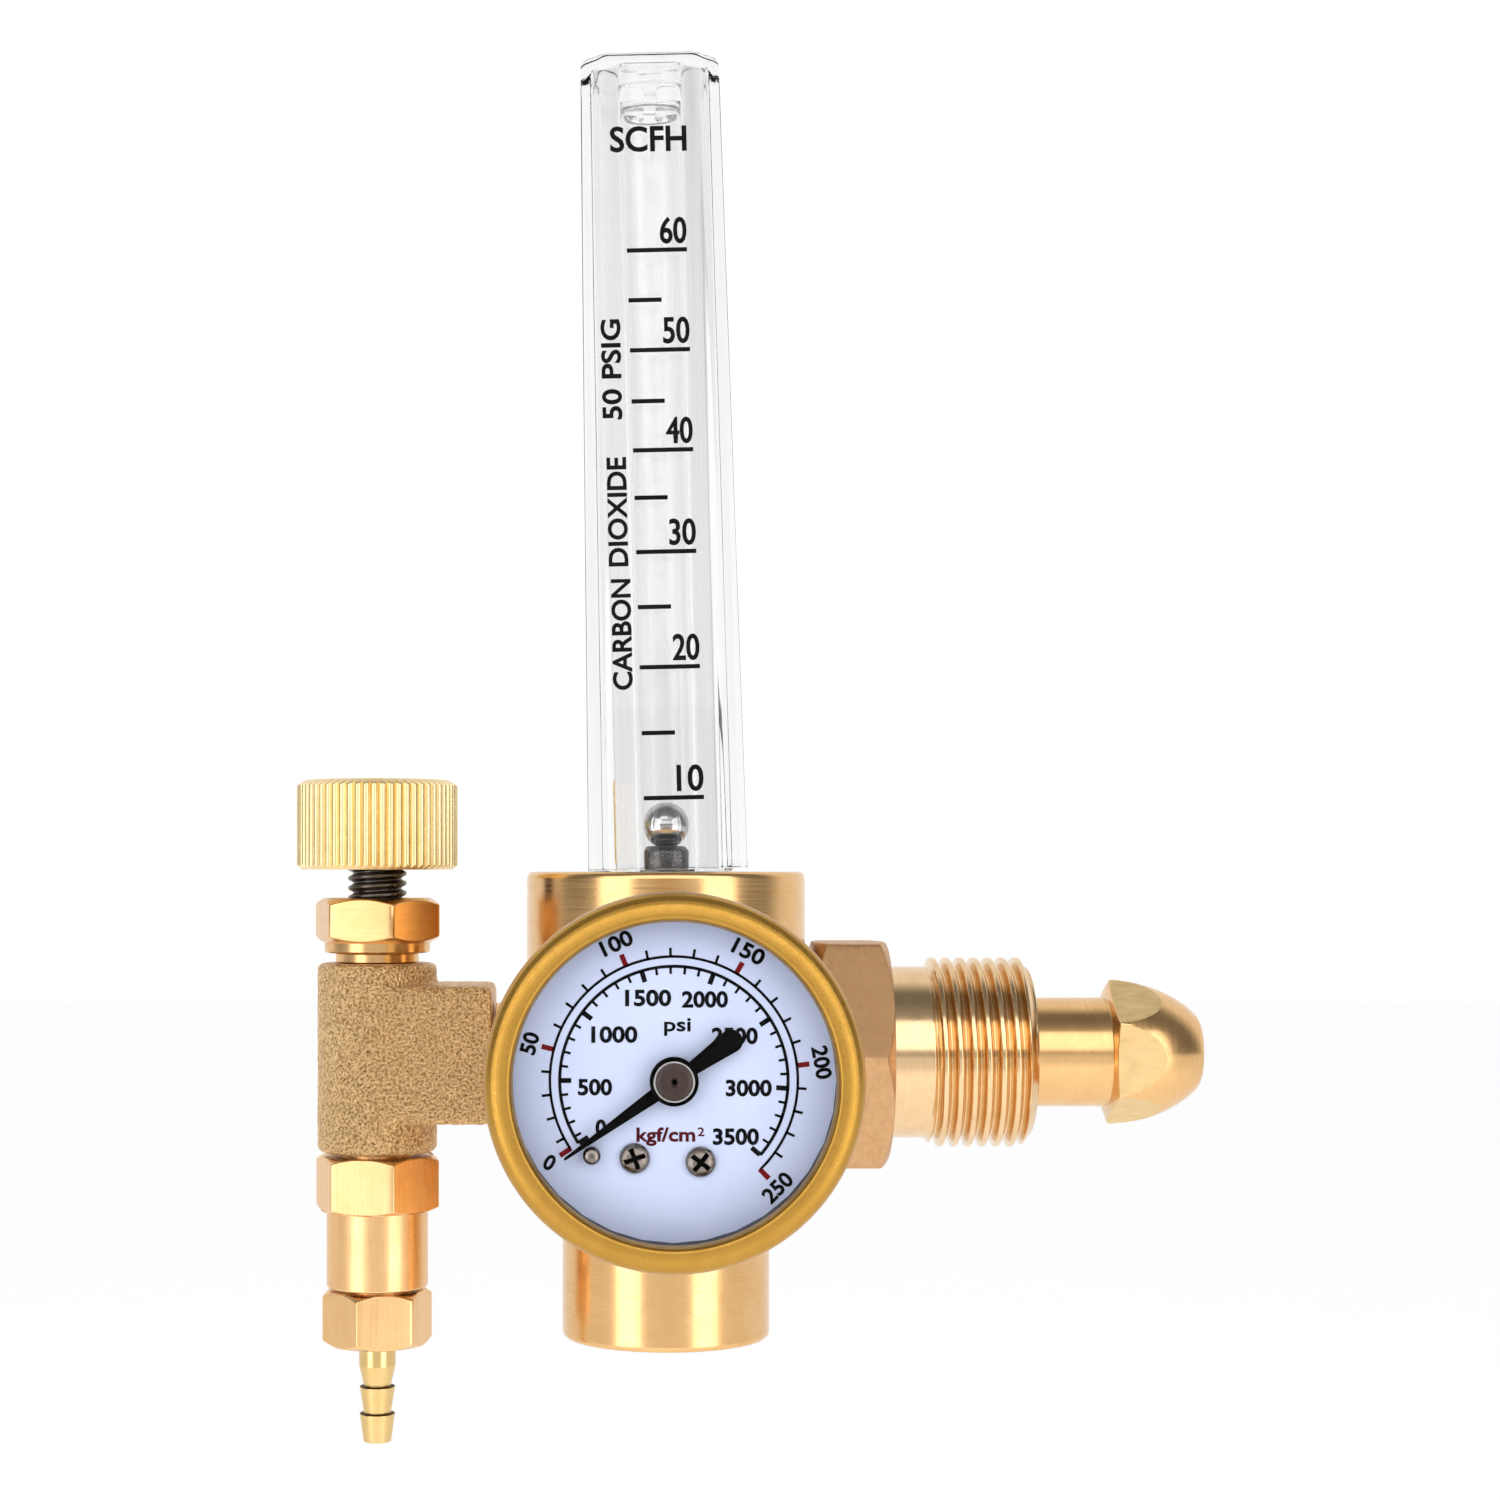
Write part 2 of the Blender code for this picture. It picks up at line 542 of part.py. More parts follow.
def make_outlet(parent):
    corner = ADAPTER_FLATS / math.sqrt(3.0)
    adapter = turned("outlet_adapter", [(1.5, -6.6), (4.7, -6.6), (4.7, -13.4), (7.3, -13.4), (corner, -14.0),
                                        (corner, -19.9), (7.5, -20.4), (6.55, -20.4), (6.55, -30.2),
                                        (6.35, -30.4), (4.8, -30.4), (4.8, -23.5), (1.5, -23.5)],
                     MEDIUM, "brass", parent)
    trim_to_hexagon(adapter, ADAPTER_FLATS, -20.6, -13.2, ADAPTER_FLATS_TURN)
    corner = OUTLET_FLATS / math.sqrt(3.0)
    nut = turned("outlet_nut", [(3.4, -37.8), (6.4, -37.8), (corner, -37.1), (corner, -31.5), (6.3, -30.8),
                                (4.6, -30.8), (4.6, -26.3), (3.4, -26.3)], MEDIUM, "brass", parent)
    trim_to_hexagon(nut, OUTLET_FLATS, -38.5, -30.6, OUTLET_FLATS_TURN)
    barbs = [(BARB_STEM, -40.6), (BARB_ROOT, -43.2), (BARB_CREST, -43.4), (BARB_ROOT, -46.7),
             (BARB_CREST, -46.9), (BARB_ROOT, BARB_END)]
    turned("hose_barb", [(BARB_BORE, -24.4), (4.4, -24.4), (4.4, -26.0), (BARB_STEM, -26.0)] + barbs
           + [(BARB_BORE, BARB_END)], COARSE, "pale_brass", parent)
    turned("outlet_seal", [(1.7, -24.2), (4.4, -24.2), (4.4, -23.7), (1.7, -23.7)], COARSE, "nylon", parent)


def make_socket(parent):
    """The gauge's brass block: thread, wrench flats, a bar behind the movement and a post for the tube."""
    socket = turned("gauge_socket", [(0.0, 10.0), (4.8, 10.0), (4.8, 19.8), (4.9, 19.8), (4.9, 30.0),
                                     (0.0, 30.0)], COARSE, "brass", parent)
    combine(socket, box("socket_flats", (-6, -6, 19.6), (6, 6, 26.2), None, parent), "UNION")
    combine(socket, box("socket_bar", (-5, -17, 27.8), (5, 5.2, 33.2), None, parent), "UNION")
    combine(socket, box("socket_post", (-4, -16.9, 33.0), (4, -11.6, 41.0), None, parent), "UNION")
    drill(socket, 1.0, (0, 0, 9.0), (0, 0, 1), 22.1)
    drill(socket, 0.85, (0, 0.5, 30.3), (0, -1, 0), 13.9)
    drill(socket, 0.75, (0.03, -12.85, 30.1), (0, 0, 1), 8.1)
    drill(socket, 0.6, (-0.2, -12.8, 37.4), (1, 0, 0), 6.0)


def make_case(parent):
    inner = CASE_RADIUS - CASE_WALL
    turned("gauge_case", [(5.2, CASE_BACK), (CASE_RADIUS - 1.2, CASE_BACK), (CASE_RADIUS, CASE_BACK + 1.2),
                          (CASE_RADIUS, CASE_FRONT), (inner, CASE_FRONT), (inner, CASE_BACK + 1.6),
                          (inner - 0.6, CASE_BACK + 1.0), (5.2, CASE_BACK + 1.0)], FINE, "steel", parent)
    turned("gauge_bezel", [(20.2, 45.2), (BEZEL_RADIUS, 45.2), (BEZEL_RADIUS, 50.2), (20.9, 51.2),
                           (20.2, 51.85), (19.5, BEZEL_FRONT), (18.0, 51.0), (BEZEL_OPENING, 50.7),
                           (BEZEL_OPENING, 50.3), (20.2, 50.3)], FINE, "gold_paint", parent)
    rod("gauge_lens", LENS_RADIUS, (0, 0, LENS_BACK), (0, 0, 1), LENS_THICKNESS, FINE, "clear", parent)
    turned("dial_spacer", [(18.2, 46.0), (18.9, 46.0), (18.9, 48.3), (18.2, 48.3)], FINE, "rubber", parent)


def make_dial(parent):
    dial = rod("dial", 18.9, (0, 0, DIAL_FRONT - DIAL_THICKNESS), (0, 0, 1), DIAL_THICKNESS, FINE,
               "dial_white", parent)
    drill(dial, 1.3, (0, 0, 44.0), (0, 0, 1), 3.0)
    drill(dial, 0.65, (*STOP_PLACE, 44.0), (0, 0, 1), 3.0)
    for number, place in enumerate(SCREW_PLACES, start=1):
        drill(dial, 1.05, (*place, 44.0), (0, 0, 1), 3.0)
        screw = turned(f"dial_screw_{number}", [(0.0, 44.0), (0.8, 44.0), (0.8, 46.0), (1.7, 46.0),
                                                (1.6, 46.5), (1.0, 46.9), (0.0, 47.0)], TINY, "steel", parent)
        screw.location = (place[0] * MM, place[1] * MM, 0.0)
        slot = box(f"screw_slot_{number}", (-1.2, -0.2, 46.6), (1.2, 0.2, 47.5), None, parent)
        slot.location = screw.location
        slot.rotation_euler.z = math.radians(35.0 * number)
        combine(screw, slot)
    pin = turned("stop_pin", [(0.0, 44.6), (0.45, 44.6), (0.45, 46.0), (1.0, 46.0), (1.0, 47.6),
                              (0.7, 47.9), (0.0, 47.9)], TINY, "steel", parent)
    pin.location = (STOP_PLACE[0] * MM, STOP_PLACE[1] * MM, 0.0)


def make_pointer(parent):
    """The pointer lies along local X of its own axis, which is turned to the zero mark."""
    axis = make_axis("pointer_axis", (0, 0, 0), (0, 0, POINTER_REST))
    axis.parent = parent
    pointer = turned("pointer", [(0.0, 46.6), (2.7, 46.6), (2.7, 48.0), (2.45, 48.0), (2.45, 47.7),
                                 (0.0, 47.7)], COARSE, "black_paint", axis)
    needle = plate("pointer_needle", tapered_bar((1.0, 0), (POINTER_TIP - 0.22, 0), 0.8, 0.22), 47.1, 47.5,
                   None, axis)
    tail = plate("pointer_tail", tapered_bar((-1.5, 0), (1.3 - POINTER_TAIL, 0), 0.8, 1.3), 47.1, 47.5,
                 None, axis)
    combine(pointer, needle, "UNION")
    combine(pointer, tail, "UNION")
    drill(pointer, 0.75, (0, 0, 46.0), (0, 0, 1), 1.4)
    turned("pointer_cap", [(0.3, 47.8), (2.3, 47.8), (2.2, 48.05), (0.6, 48.2), (0.3, 48.0)], COARSE,
           "brown_cap", axis)
    arbor = turned("pointer_arbor", [(0.0, 34.6), (0.4, 34.6), (0.4, 35.2), (0.65, 35.2), (0.65, 47.3),
                                     (0.0, 47.3)], TINY, "pale_brass", axis)
    teeth = plate("pinion_teeth", gear_teeth(PINION_TEETH, PINION_TEETH, 0.0), 36.4, 39.0, None, axis)
    combine(arbor, teeth, "UNION")
    return axis


def gear_teeth(teeth, full_circle, first):
    """Straight-sided teeth on a pitch circle, each tooth centred on its own angle from first."""
    pitch_radius = MODULE * full_circle / 2.0
    step = 360.0 / full_circle
    root = pitch_radius - 1.2 * MODULE
    tip = pitch_radius + 0.9 * MODULE
    half_root = (math.pi * MODULE / 4.0 + 0.25 * MODULE - BACKLASH) / pitch_radius
    half_tip = (math.pi * MODULE / 4.0 - 0.38 * MODULE - BACKLASH) / pitch_radius
    corners = ((-half_root, root), (-half_tip, tip), (half_tip, tip), (half_root, root))
    points = []
    for tooth in range(teeth):
        centre = math.radians(first + tooth * step)
        for offset, radius in corners:
            points.append((radius * math.cos(centre + offset), radius * math.sin(centre + offset)))
    return points


def sector_phase():
    """The sector's tooth angle that puts a sector gap on the line of centres opposite a pinion tooth."""
    pinion_step = 360.0 / PINION_TEETH
    sector_step = 360.0 / SECTOR_TEETH
    toward_sector = (SECTOR_DIRECTION - POINTER_REST) % pinion_step
    fraction = toward_sector / pinion_step
    toward_pinion = SECTOR_DIRECTION + 180.0
    return toward_pinion + (0.5 - fraction) * sector_step


def make_sector(parent):
    distance = MODULE * (PINION_TEETH + SECTOR_TEETH) / 2.0
    turn = math.radians(SECTOR_DIRECTION)
    axis = make_axis("sector_axis", (distance * math.cos(turn), distance * math.sin(turn), 0))
    axis.parent = parent
    step = 360.0 / SECTOR_TEETH
    count = int(SECTOR_SWEEP / step) + 3
    first = sector_phase() - (count - 2) * step
    rim = gear_teeth(count, SECTOR_TEETH, first)
    last = first + (count - 1) * step
    hub = arc((0.0, 0.0), 1.2, last + 60.0, first + 300.0, 8)
    sector = plate("sector_gear", rim + hub, 36.9, 38.5, "pale_brass", axis)
    tail_end = (TAIL_LENGTH * math.cos(math.radians(TAIL_DIRECTION)),
                TAIL_LENGTH * math.sin(math.radians(TAIL_DIRECTION)))
    tail = plate("sector_tail", tapered_bar((0.0, 0.0), tail_end, 1.1, 0.8), 36.9, 38.5, None, axis)
    combine(sector, tail, "UNION")
    combine(sector, rod("sector_arbor", 0.45, (0, 0, 33.8), (0, 0, 1), 10.6, TINY, None, axis), "UNION")
    combine(sector, rod("sector_pin", 0.4, (*tail_end, 37.0), (0, 0, 1), 2.9, TINY, None, axis), "UNION")
    return axis.location.x / MM + tail_end[0], axis.location.y / MM + tail_end[1]


def make_link(tail_place, parent):
    link = plate("link", tapered_bar(tail_place, TIP_PLACE, 0.9, 1.4), 38.8, 39.4, "pale_brass", parent)
    drill(link, 0.5, (*tail_place, 38.0), (0, 0, 1), 3.0)
    drill(link, 1.0, (*TIP_PLACE, 38.0), (0, 0, 1), 3.0)


def make_bourdon(parent):
    """A flattened tube bent to a C, open at both ends, and the tip that closes its free end."""
    bm = bmesh.new()
    loops = []
    for half_wide, half_thick in ((2.8, 0.9), (2.3, 0.4)):
        verts = []
        for step in range(TINY):
            angle = math.tau * step / TINY
            radius = BOURDON_RADIUS + half_thick * math.cos(angle)
            verts.append(bm.verts.new(Vector((radius, 0.0, 37.5 + half_wide * math.sin(angle))) * MM))
        loops.append(verts)
    geometry = list(bm.verts)
    for verts in loops:
        geometry += [bm.edges.new((verts[step], verts[(step + 1) % TINY])) for step in range(TINY)]
    first_edges = [item for item in geometry if isinstance(item, bmesh.types.BMEdge)]
    swept = bmesh.ops.spin(bm, geom=geometry, cent=(0, 0, 0), axis=(0, 0, 1),
                           angle=math.radians(BOURDON_LAST - BOURDON_FIRST), steps=24)
    last_edges = [item for item in swept["geom_last"] if isinstance(item, bmesh.types.BMEdge)]
    bmesh.ops.bridge_loops(bm, edges=first_edges)
    bmesh.ops.bridge_loops(bm, edges=last_edges)
    tube = finish_mesh("bourdon_tube", bm, "bronze", parent)
    tube.rotation_euler.z = math.radians(BOURDON_FIRST)

    end = arc((0, 0), BOURDON_RADIUS, BOURDON_LAST + 1.5, BOURDON_LAST + 1.5, 1)[0]
    far = arc((0, 0), BOURDON_RADIUS - 0.3, BOURDON_LAST + 9.5, BOURDON_LAST + 9.5, 1)[0]
    across = Vector((math.cos(math.radians(BOURDON_LAST)), math.sin(math.radians(BOURDON_LAST))))
    points = [(end[0] - across.x, end[1] - across.y), (end[0] + across.x, end[1] + across.y),
              (far[0] + across.x, far[1] + across.y), (far[0] - across.x, far[1] - across.y)]
    tip = plate("tube_tip", points, 34.9, 38.5, "brass", parent)
    lug = plate("tip_lug", tapered_bar(far, TIP_PLACE, 0.9, 0.9), 36.9, 38.5, None, parent)
    combine(tip, lug, "UNION")
    combine(tip, rod("tip_pin", 0.4, (*TIP_PLACE, 37.0), (0, 0, 1), 2.9, TINY, None, parent), "UNION")


def make_movement_plates(parent):
    distance = MODULE * (PINION_TEETH + SECTOR_TEETH) / 2.0
    turn = math.radians(SECTOR_DIRECTION)
    pivot = (distance * math.cos(turn), distance * math.sin(turn))
    back = box("movement_back_plate", (*PLATE_LOW, PLATE_BACK), (*PLATE_HIGH, PLATE_BACK + 0.8),
               "pale_brass", parent)
    drill(back, 0.55, (*pivot, PLATE_BACK - 1.0), (0, 0, 1), 3.0)
    front = box("movement_front_plate", (*PLATE_LOW, PLATE_FRONT), (*PLATE_HIGH, PLATE_FRONT + 1.0),
                "pale_brass", parent)
    drill(front, 0.75, (0, 0, PLATE_FRONT - 1.0), (0, 0, 1), 3.0)
    drill(front, 0.55, (*pivot, PLATE_FRONT - 1.0), (0, 0, 1), 3.0)
    for place in SCREW_PLACES:
        drill(front, 0.95, (*place, PLATE_FRONT - 1.0), (0, 0, 1), 3.0)
    for number, place in enumerate(PILLARS, start=1):
        rod(f"movement_pillar_{number}", 0.8, (*place, PLATE_BACK + 0.95), (0, 0, 1),
            PLATE_FRONT - PLATE_BACK - 1.1, TINY, "pale_brass", parent)


def main():
    clear_scene()
    body_axis = make_axis("body_axis", (-NOSE_TIP, 0, 0))
    inlet_axis = make_axis("inlet_axis", (-NOSE_TIP, 0, 0), (0, 90, 0))
    valve_axis = make_axis("valve_axis", (VALVE_OFFSET - NOSE_TIP, 0, 0))
    gauge_axis = make_axis("gauge_axis", (-NOSE_TIP, 0, 0), (90, 0, 0))
    lean = math.radians(TUBE_LEAN)
    tube_foot = (BALL_HEIGHT * math.sin(lean) - NOSE_TIP, 0, BALL_HEIGHT * (1.0 - math.cos(lean)))
    tube_axis = make_axis("tube_axis", tube_foot, (0, -TUBE_LEAN, 0))

    make_body(body_axis)
    make_seat_parts(body_axis)
    make_bonnet(body_axis)
    make_inlet(inlet_axis)
    make_valve_link(inlet_axis)
    make_nozzle(body_axis)
    make_cover(tube_axis)
    make_flow_tube(tube_axis)

    make_tee(valve_axis)
    make_valve_bonnet(valve_axis)
    make_knob(valve_axis)
    make_outlet(valve_axis)

    make_socket(gauge_axis)
    make_case(gauge_axis)
    make_dial(gauge_axis)
    make_pointer(gauge_axis)
    tail_place = make_sector(gauge_axis)
    make_link(tail_place, gauge_axis)
    make_bourdon(gauge_axis)
    make_movement_plates(gauge_axis)


main()
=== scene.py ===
"""Looks for the carbon dioxide regulator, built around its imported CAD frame.

Pieces are modelled in millimetres about five axes (body, inlet, tube, valve and gauge), with local z along them.
An outline is a list of (radius, height) points.
"""

import json
import math

import bmesh
import bpy
from mathutils import Matrix, Vector, noise


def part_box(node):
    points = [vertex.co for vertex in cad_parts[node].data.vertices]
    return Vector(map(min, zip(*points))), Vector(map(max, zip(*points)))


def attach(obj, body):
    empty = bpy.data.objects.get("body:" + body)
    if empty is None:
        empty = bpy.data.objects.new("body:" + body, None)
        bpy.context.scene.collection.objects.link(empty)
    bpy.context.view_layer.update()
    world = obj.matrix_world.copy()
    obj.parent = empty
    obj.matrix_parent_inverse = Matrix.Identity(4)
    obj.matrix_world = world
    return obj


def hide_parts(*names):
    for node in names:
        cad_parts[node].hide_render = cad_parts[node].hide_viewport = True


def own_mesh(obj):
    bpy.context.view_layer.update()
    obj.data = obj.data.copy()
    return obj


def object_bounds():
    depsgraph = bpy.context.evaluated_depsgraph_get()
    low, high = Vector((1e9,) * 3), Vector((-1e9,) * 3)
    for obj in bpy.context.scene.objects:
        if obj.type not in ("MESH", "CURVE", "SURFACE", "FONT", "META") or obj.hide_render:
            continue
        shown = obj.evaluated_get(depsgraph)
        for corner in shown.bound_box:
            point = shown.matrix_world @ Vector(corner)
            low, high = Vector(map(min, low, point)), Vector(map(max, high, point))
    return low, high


MM = 0.001
SMOOTH_ANGLE = 38.0

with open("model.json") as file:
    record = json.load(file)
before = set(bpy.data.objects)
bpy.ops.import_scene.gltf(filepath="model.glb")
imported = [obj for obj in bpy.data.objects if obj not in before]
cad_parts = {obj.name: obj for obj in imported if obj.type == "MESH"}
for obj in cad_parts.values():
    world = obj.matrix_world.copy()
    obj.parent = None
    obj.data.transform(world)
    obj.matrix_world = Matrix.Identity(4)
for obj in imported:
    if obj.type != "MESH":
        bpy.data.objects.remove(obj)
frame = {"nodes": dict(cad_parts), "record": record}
cad_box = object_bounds()


# ---------------------------------------------------------------- axes

def middle(node):
    low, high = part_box(node)
    return (low + high) / 2


def axis_frame(origin, turn=0.0, around="Z"):
    return Matrix.Translation(origin) @ Matrix.Rotation(math.radians(turn), 4, around)


BODY_X = middle("bonnet").x
VALVE_X = middle("valve_knob").x
GAUGE_MIDDLE = middle("gauge_bezel")
BODY = axis_frame((BODY_X, 0.0, 0.0))
INLET = axis_frame((BODY_X, 0.0, 0.0), 90.0, "Y")
VALVE = axis_frame((VALVE_X, 0.0, 0.0))
GAUGE = axis_frame((GAUGE_MIDDLE.x, 0.0, GAUGE_MIDDLE.z), 90.0, "X")
POINTER_REST = 215.4
POINTER = GAUGE @ Matrix.Rotation(math.radians(POINTER_REST), 4, "Z")


def joint_axis(name):
    joints = frame["record"]["behaviour"]["joints"]
    return Vector([joint for joint in joints if joint["name"] == name][0]["axis"])


BALL_HEIGHT = 29.37
TUBE_AXIS = joint_axis("ball_float")
TUBE_LEAN = Matrix.Rotation(math.atan2(TUBE_AXIS.x, TUBE_AXIS.z), 4, "Y")
TUBE = Matrix.Translation(middle("flow_ball")) @ TUBE_LEAN @ Matrix.Translation((0.0, 0.0, -BALL_HEIGHT * MM))


# ---------------------------------------------------------------- materials

def new_material(name):
    material = bpy.data.materials.new(name)
    material.use_nodes = True
    return material, material.node_tree, material.node_tree.nodes["Principled BSDF"]


def add_node(tree, kind, inputs=None, **settings):
    """A node with its settings; an input is a value, or a socket to link from."""
    node = tree.nodes.new(kind)
    for key, value in settings.items():
        setattr(node, key, value)
    for key, value in (inputs or {}).items():
        if isinstance(value, bpy.types.NodeSocket):
            tree.links.new(value, node.inputs[key])
        else:
            node.inputs[key].default_value = value
    return node


GRAIN_ROUGHNESS = 0.55


def grain(tree, scale, detail=3.0, distortion=0.0):
    """Noise in the piece's own coordinates, with its own scale along each axis, in cycles a metre."""
    place = add_node(tree, "ShaderNodeTexCoord").outputs["Object"]
    mapped = add_node(tree, "ShaderNodeMapping", {"Vector": place, "Scale": scale}).outputs["Vector"]
    return add_node(tree, "ShaderNodeTexNoise", {"Vector": mapped, "Scale": 1.0, "Detail": detail,
                    "Roughness": GRAIN_ROUGHNESS, "Distortion": distortion}).outputs["Fac"]


def remap(tree, value, low, high, source=(0.3, 0.7)):
    return add_node(tree, "ShaderNodeMapRange", {"Value": value, "From Min": source[0], "From Max": source[1],
                    "To Min": low, "To Max": high}).outputs["Result"]


def mix_colour(tree, factor, first, second):
    node = add_node(tree, "ShaderNodeMix", {"Factor": factor}, data_type="RGBA")
    for key, value in (("A", first), ("B", second)):
        socket = [item for item in node.inputs if item.name == key and item.type == "RGBA"][0]
        if isinstance(value, bpy.types.NodeSocket):
            tree.links.new(value, socket)
        else:
            socket.default_value = (*value, 1.0)
    return [item for item in node.outputs if item.type == "RGBA"][0]


def bump(tree, height, depth, normal=None):
    """Surface relief of the given depth, in mm."""
    inputs = {"Height": height, "Distance": depth * MM, "Strength": 1.0}
    if normal is not None:
        inputs["Normal"] = normal
    return add_node(tree, "ShaderNodeBump", inputs).outputs["Normal"]


def metal(name, colour, shade, roughness, marks=(300, 300, 5000), depth=0.01, blotch=350.0, metallic=1.0,
          pits=0.0, pit_scale=2500.0, stain=None):
    """Machined or cast metal: tool marks, blotches of tarnish, uneven polish and, where asked, pits."""
    material, tree, shader = new_material(name)
    lines = grain(tree, marks, detail=4.0)
    cloud = grain(tree, (blotch, blotch, blotch), detail=2.0, distortion=0.6)
    tone = mix_colour(tree, remap(tree, cloud, 0.0, 0.55), colour, shade)
    tone = mix_colour(tree, remap(tree, lines, 0.0, 0.35), tone, shade)
    if stain:
        specks = remap(tree, grain(tree, (pit_scale, pit_scale, pit_scale)), 0.0, 1.0, source=(0.33, 0.60))
        tone = mix_colour(tree, specks, stain, tone)
    tree.links.new(tone, shader.inputs["Base Color"])
    spread = remap(tree, lines, roughness * 0.75, roughness * 1.25)
    tree.links.new(spread, shader.inputs["Roughness"])
    shader.inputs["Metallic"].default_value = metallic
    normal = bump(tree, lines, depth)
    if pits:
        coarse = grain(tree, (pit_scale, pit_scale, pit_scale), detail=3.0)
        normal = bump(tree, coarse, pits, normal=normal)
    tree.links.new(normal, shader.inputs["Normal"])
    return material


def plain(name, colour, shade, roughness, scale=2500.0, depth=0.01, metallic=0.0, gloss=0.5):
    """Paint, rubber, nylon or printed sheet: mottled colour and a fine surface grain."""
    material, tree, shader = new_material(name)
    fine = grain(tree, (scale, scale, scale), detail=3.0)
    broad = grain(tree, (scale / 9, scale / 9, scale / 9), detail=2.0)
    tone = mix_colour(tree, remap(tree, broad, 0.0, 0.6), colour, shade)
    tree.links.new(tone, shader.inputs["Base Color"])
    tree.links.new(remap(tree, fine, roughness * 0.85, roughness * 1.15), shader.inputs["Roughness"])
    tree.links.new(bump(tree, fine, depth), shader.inputs["Normal"])
    shader.inputs["Metallic"].default_value = metallic
    shader.inputs["Specular IOR Level"].default_value = gloss
    return material


def clear(name, colour, shade, roughness, waviness, ior=1.49):
    """Clear moulded plastic or glass with faint flow lines along its length."""
    material, tree, shader = new_material(name)
    flow = grain(tree, (420, 420, 26), detail=2.0)
    haze = grain(tree, (900, 900, 160), detail=3.0)
    tree.links.new(mix_colour(tree, remap(tree, flow, 0.0, 1.0), colour, shade), shader.inputs["Base Color"])
    tree.links.new(remap(tree, haze, roughness * 0.4, roughness * 1.6), shader.inputs["Roughness"])
    tree.links.new(bump(tree, flow, waviness), shader.inputs["Normal"])
    shader.inputs["Transmission Weight"].default_value = 1.0
    shader.inputs["IOR"].default_value = ior
    return material


BRASS = (0.78, 0.49, 0.225)
BRASS_SHADE = (0.69, 0.40, 0.16)
RING_MARKS = (120, 120, 4200)
LONG_MARKS = (3200, 3200, 90)
TURNED = metal("turned_brass", BRASS, BRASS_SHADE, 0.21, RING_MARKS, 0.003)
SATIN = metal("satin_brass", (0.60, 0.36, 0.18), (0.54, 0.31, 0.15), 0.50, (900, 900, 1600), 0.008)
NECK = metal("bright_brass", (0.80, 0.57, 0.33), (0.68, 0.45, 0.23), 0.16, RING_MARKS, 0.004)
FLATS = metal("milled_brass", (0.78, 0.57, 0.28), (0.66, 0.45, 0.20), 0.40, (1500, 1500, 500), 0.006)
BRUSHED = metal("brushed_brass", (0.84, 0.54, 0.26), (0.76, 0.45, 0.20), 0.30, LONG_MARKS, 0.005)
PALE = metal("pale_brass", (0.74, 0.53, 0.235), (0.64, 0.43, 0.165), 0.20, RING_MARKS, 0.003)
KNOB = metal("knob_brass", (0.88, 0.71, 0.39), (0.76, 0.55, 0.26), 0.28, LONG_MARKS, 0.006)
CAST = metal("cast_brass", (0.90, 0.64, 0.34), (0.78, 0.50, 0.22), 0.34, (2600, 2600, 2600), 0.10,
             blotch=900.0, pits=0.60, pit_scale=2900.0, stain=(0.34, 0.19, 0.07))
GOLD = metal("gold_paint", (0.49, 0.27, 0.05), (0.41, 0.215, 0.035), 0.34, (3000, 3000, 3000), 0.006,
             metallic=0.93)
STEEL = metal("bright_steel", (0.62, 0.61, 0.60), (0.42, 0.41, 0.40), 0.10, (900, 900, 900), 0.002)
SCREW_STEEL = metal("dial_screw_steel", (0.30, 0.26, 0.23), (0.12, 0.10, 0.09), 0.22, (2600, 2600, 2600), 0.03)
CASE_STEEL = metal("case_steel", (0.60, 0.42, 0.16), (0.50, 0.33, 0.11), 0.30, RING_MARKS, 0.006)
DARK_STEEL = metal("dark_steel", (0.13, 0.12, 0.115), (0.06, 0.055, 0.05), 0.22, (1500, 1500, 4000), 0.01)
# Near-black colour for the top ledge of each barb: painted shade for the dark step lines, the brass there being
# no darker.
BARB_LEDGE_SHADE = metal("barb_ledge_painted_shade", (0.10, 0.055, 0.02), (0.03, 0.015, 0.006), 0.55, (1500, 1500, 1500), 0.01)
BRONZE = metal("sintered_bronze", (0.45, 0.26, 0.13), (0.28, 0.15, 0.07), 0.6, (4000, 4000, 4000), 0.05,
               pits=0.08)
COVER_PLASTIC = clear("cover_plastic", (0.955, 0.957, 0.96), (0.885, 0.888, 0.893), 0.03, 0.03, ior=1.33)
TUBE_PLASTIC = clear("tube_plastic", (0.97, 0.972, 0.974), (0.92, 0.923, 0.927), 0.02, 0.02, ior=1.33)
LENS = clear("clear_lens", (1.0, 1.0, 1.0), (0.985, 0.99, 1.0), 0.01, 0.001, ior=1.07)
RUBBER = plain("black_rubber", (0.02, 0.02, 0.02), (0.045, 0.045, 0.045), 0.6, depth=0.02)
NYLON = plain("white_nylon", (0.80, 0.79, 0.74), (0.70, 0.68, 0.62), 0.45)
# The dial sheet is white; its pale blue-grey colour here is painted reflection and shade from the lens.
DIAL = plain("printed_dial", (0.575, 0.635, 0.84), (0.53, 0.59, 0.81), 0.45, scale=900.0, depth=0.003)
# Black paint for the pointer, also put on the floor of each screw recess as painted shade.
BLACK_AND_RECESS_SHADE = plain("black_paint", (0.002, 0.002, 0.002), (0.004, 0.004, 0.004), 0.6, depth=0.008, gloss=0.03)
INK = plain("black_ink", (0.004, 0.004, 0.005), (0.01, 0.01, 0.012), 0.6, depth=0.002, gloss=0.05)
RED = plain("dark_red_ink", (0.19, 0.008, 0.012), (0.13, 0.006, 0.009), 0.6, depth=0.002, gloss=0.05)
MAROON = plain("maroon_ink", (0.085, 0.008, 0.012), (0.06, 0.006, 0.01), 0.6, depth=0.002, gloss=0.05)
BROWN = plain("brown_cap", (0.030, 0.016, 0.012), (0.055, 0.03, 0.023), 0.35, depth=0.01, metallic=0.3)


# ---------------------------------------------------------------- meshes

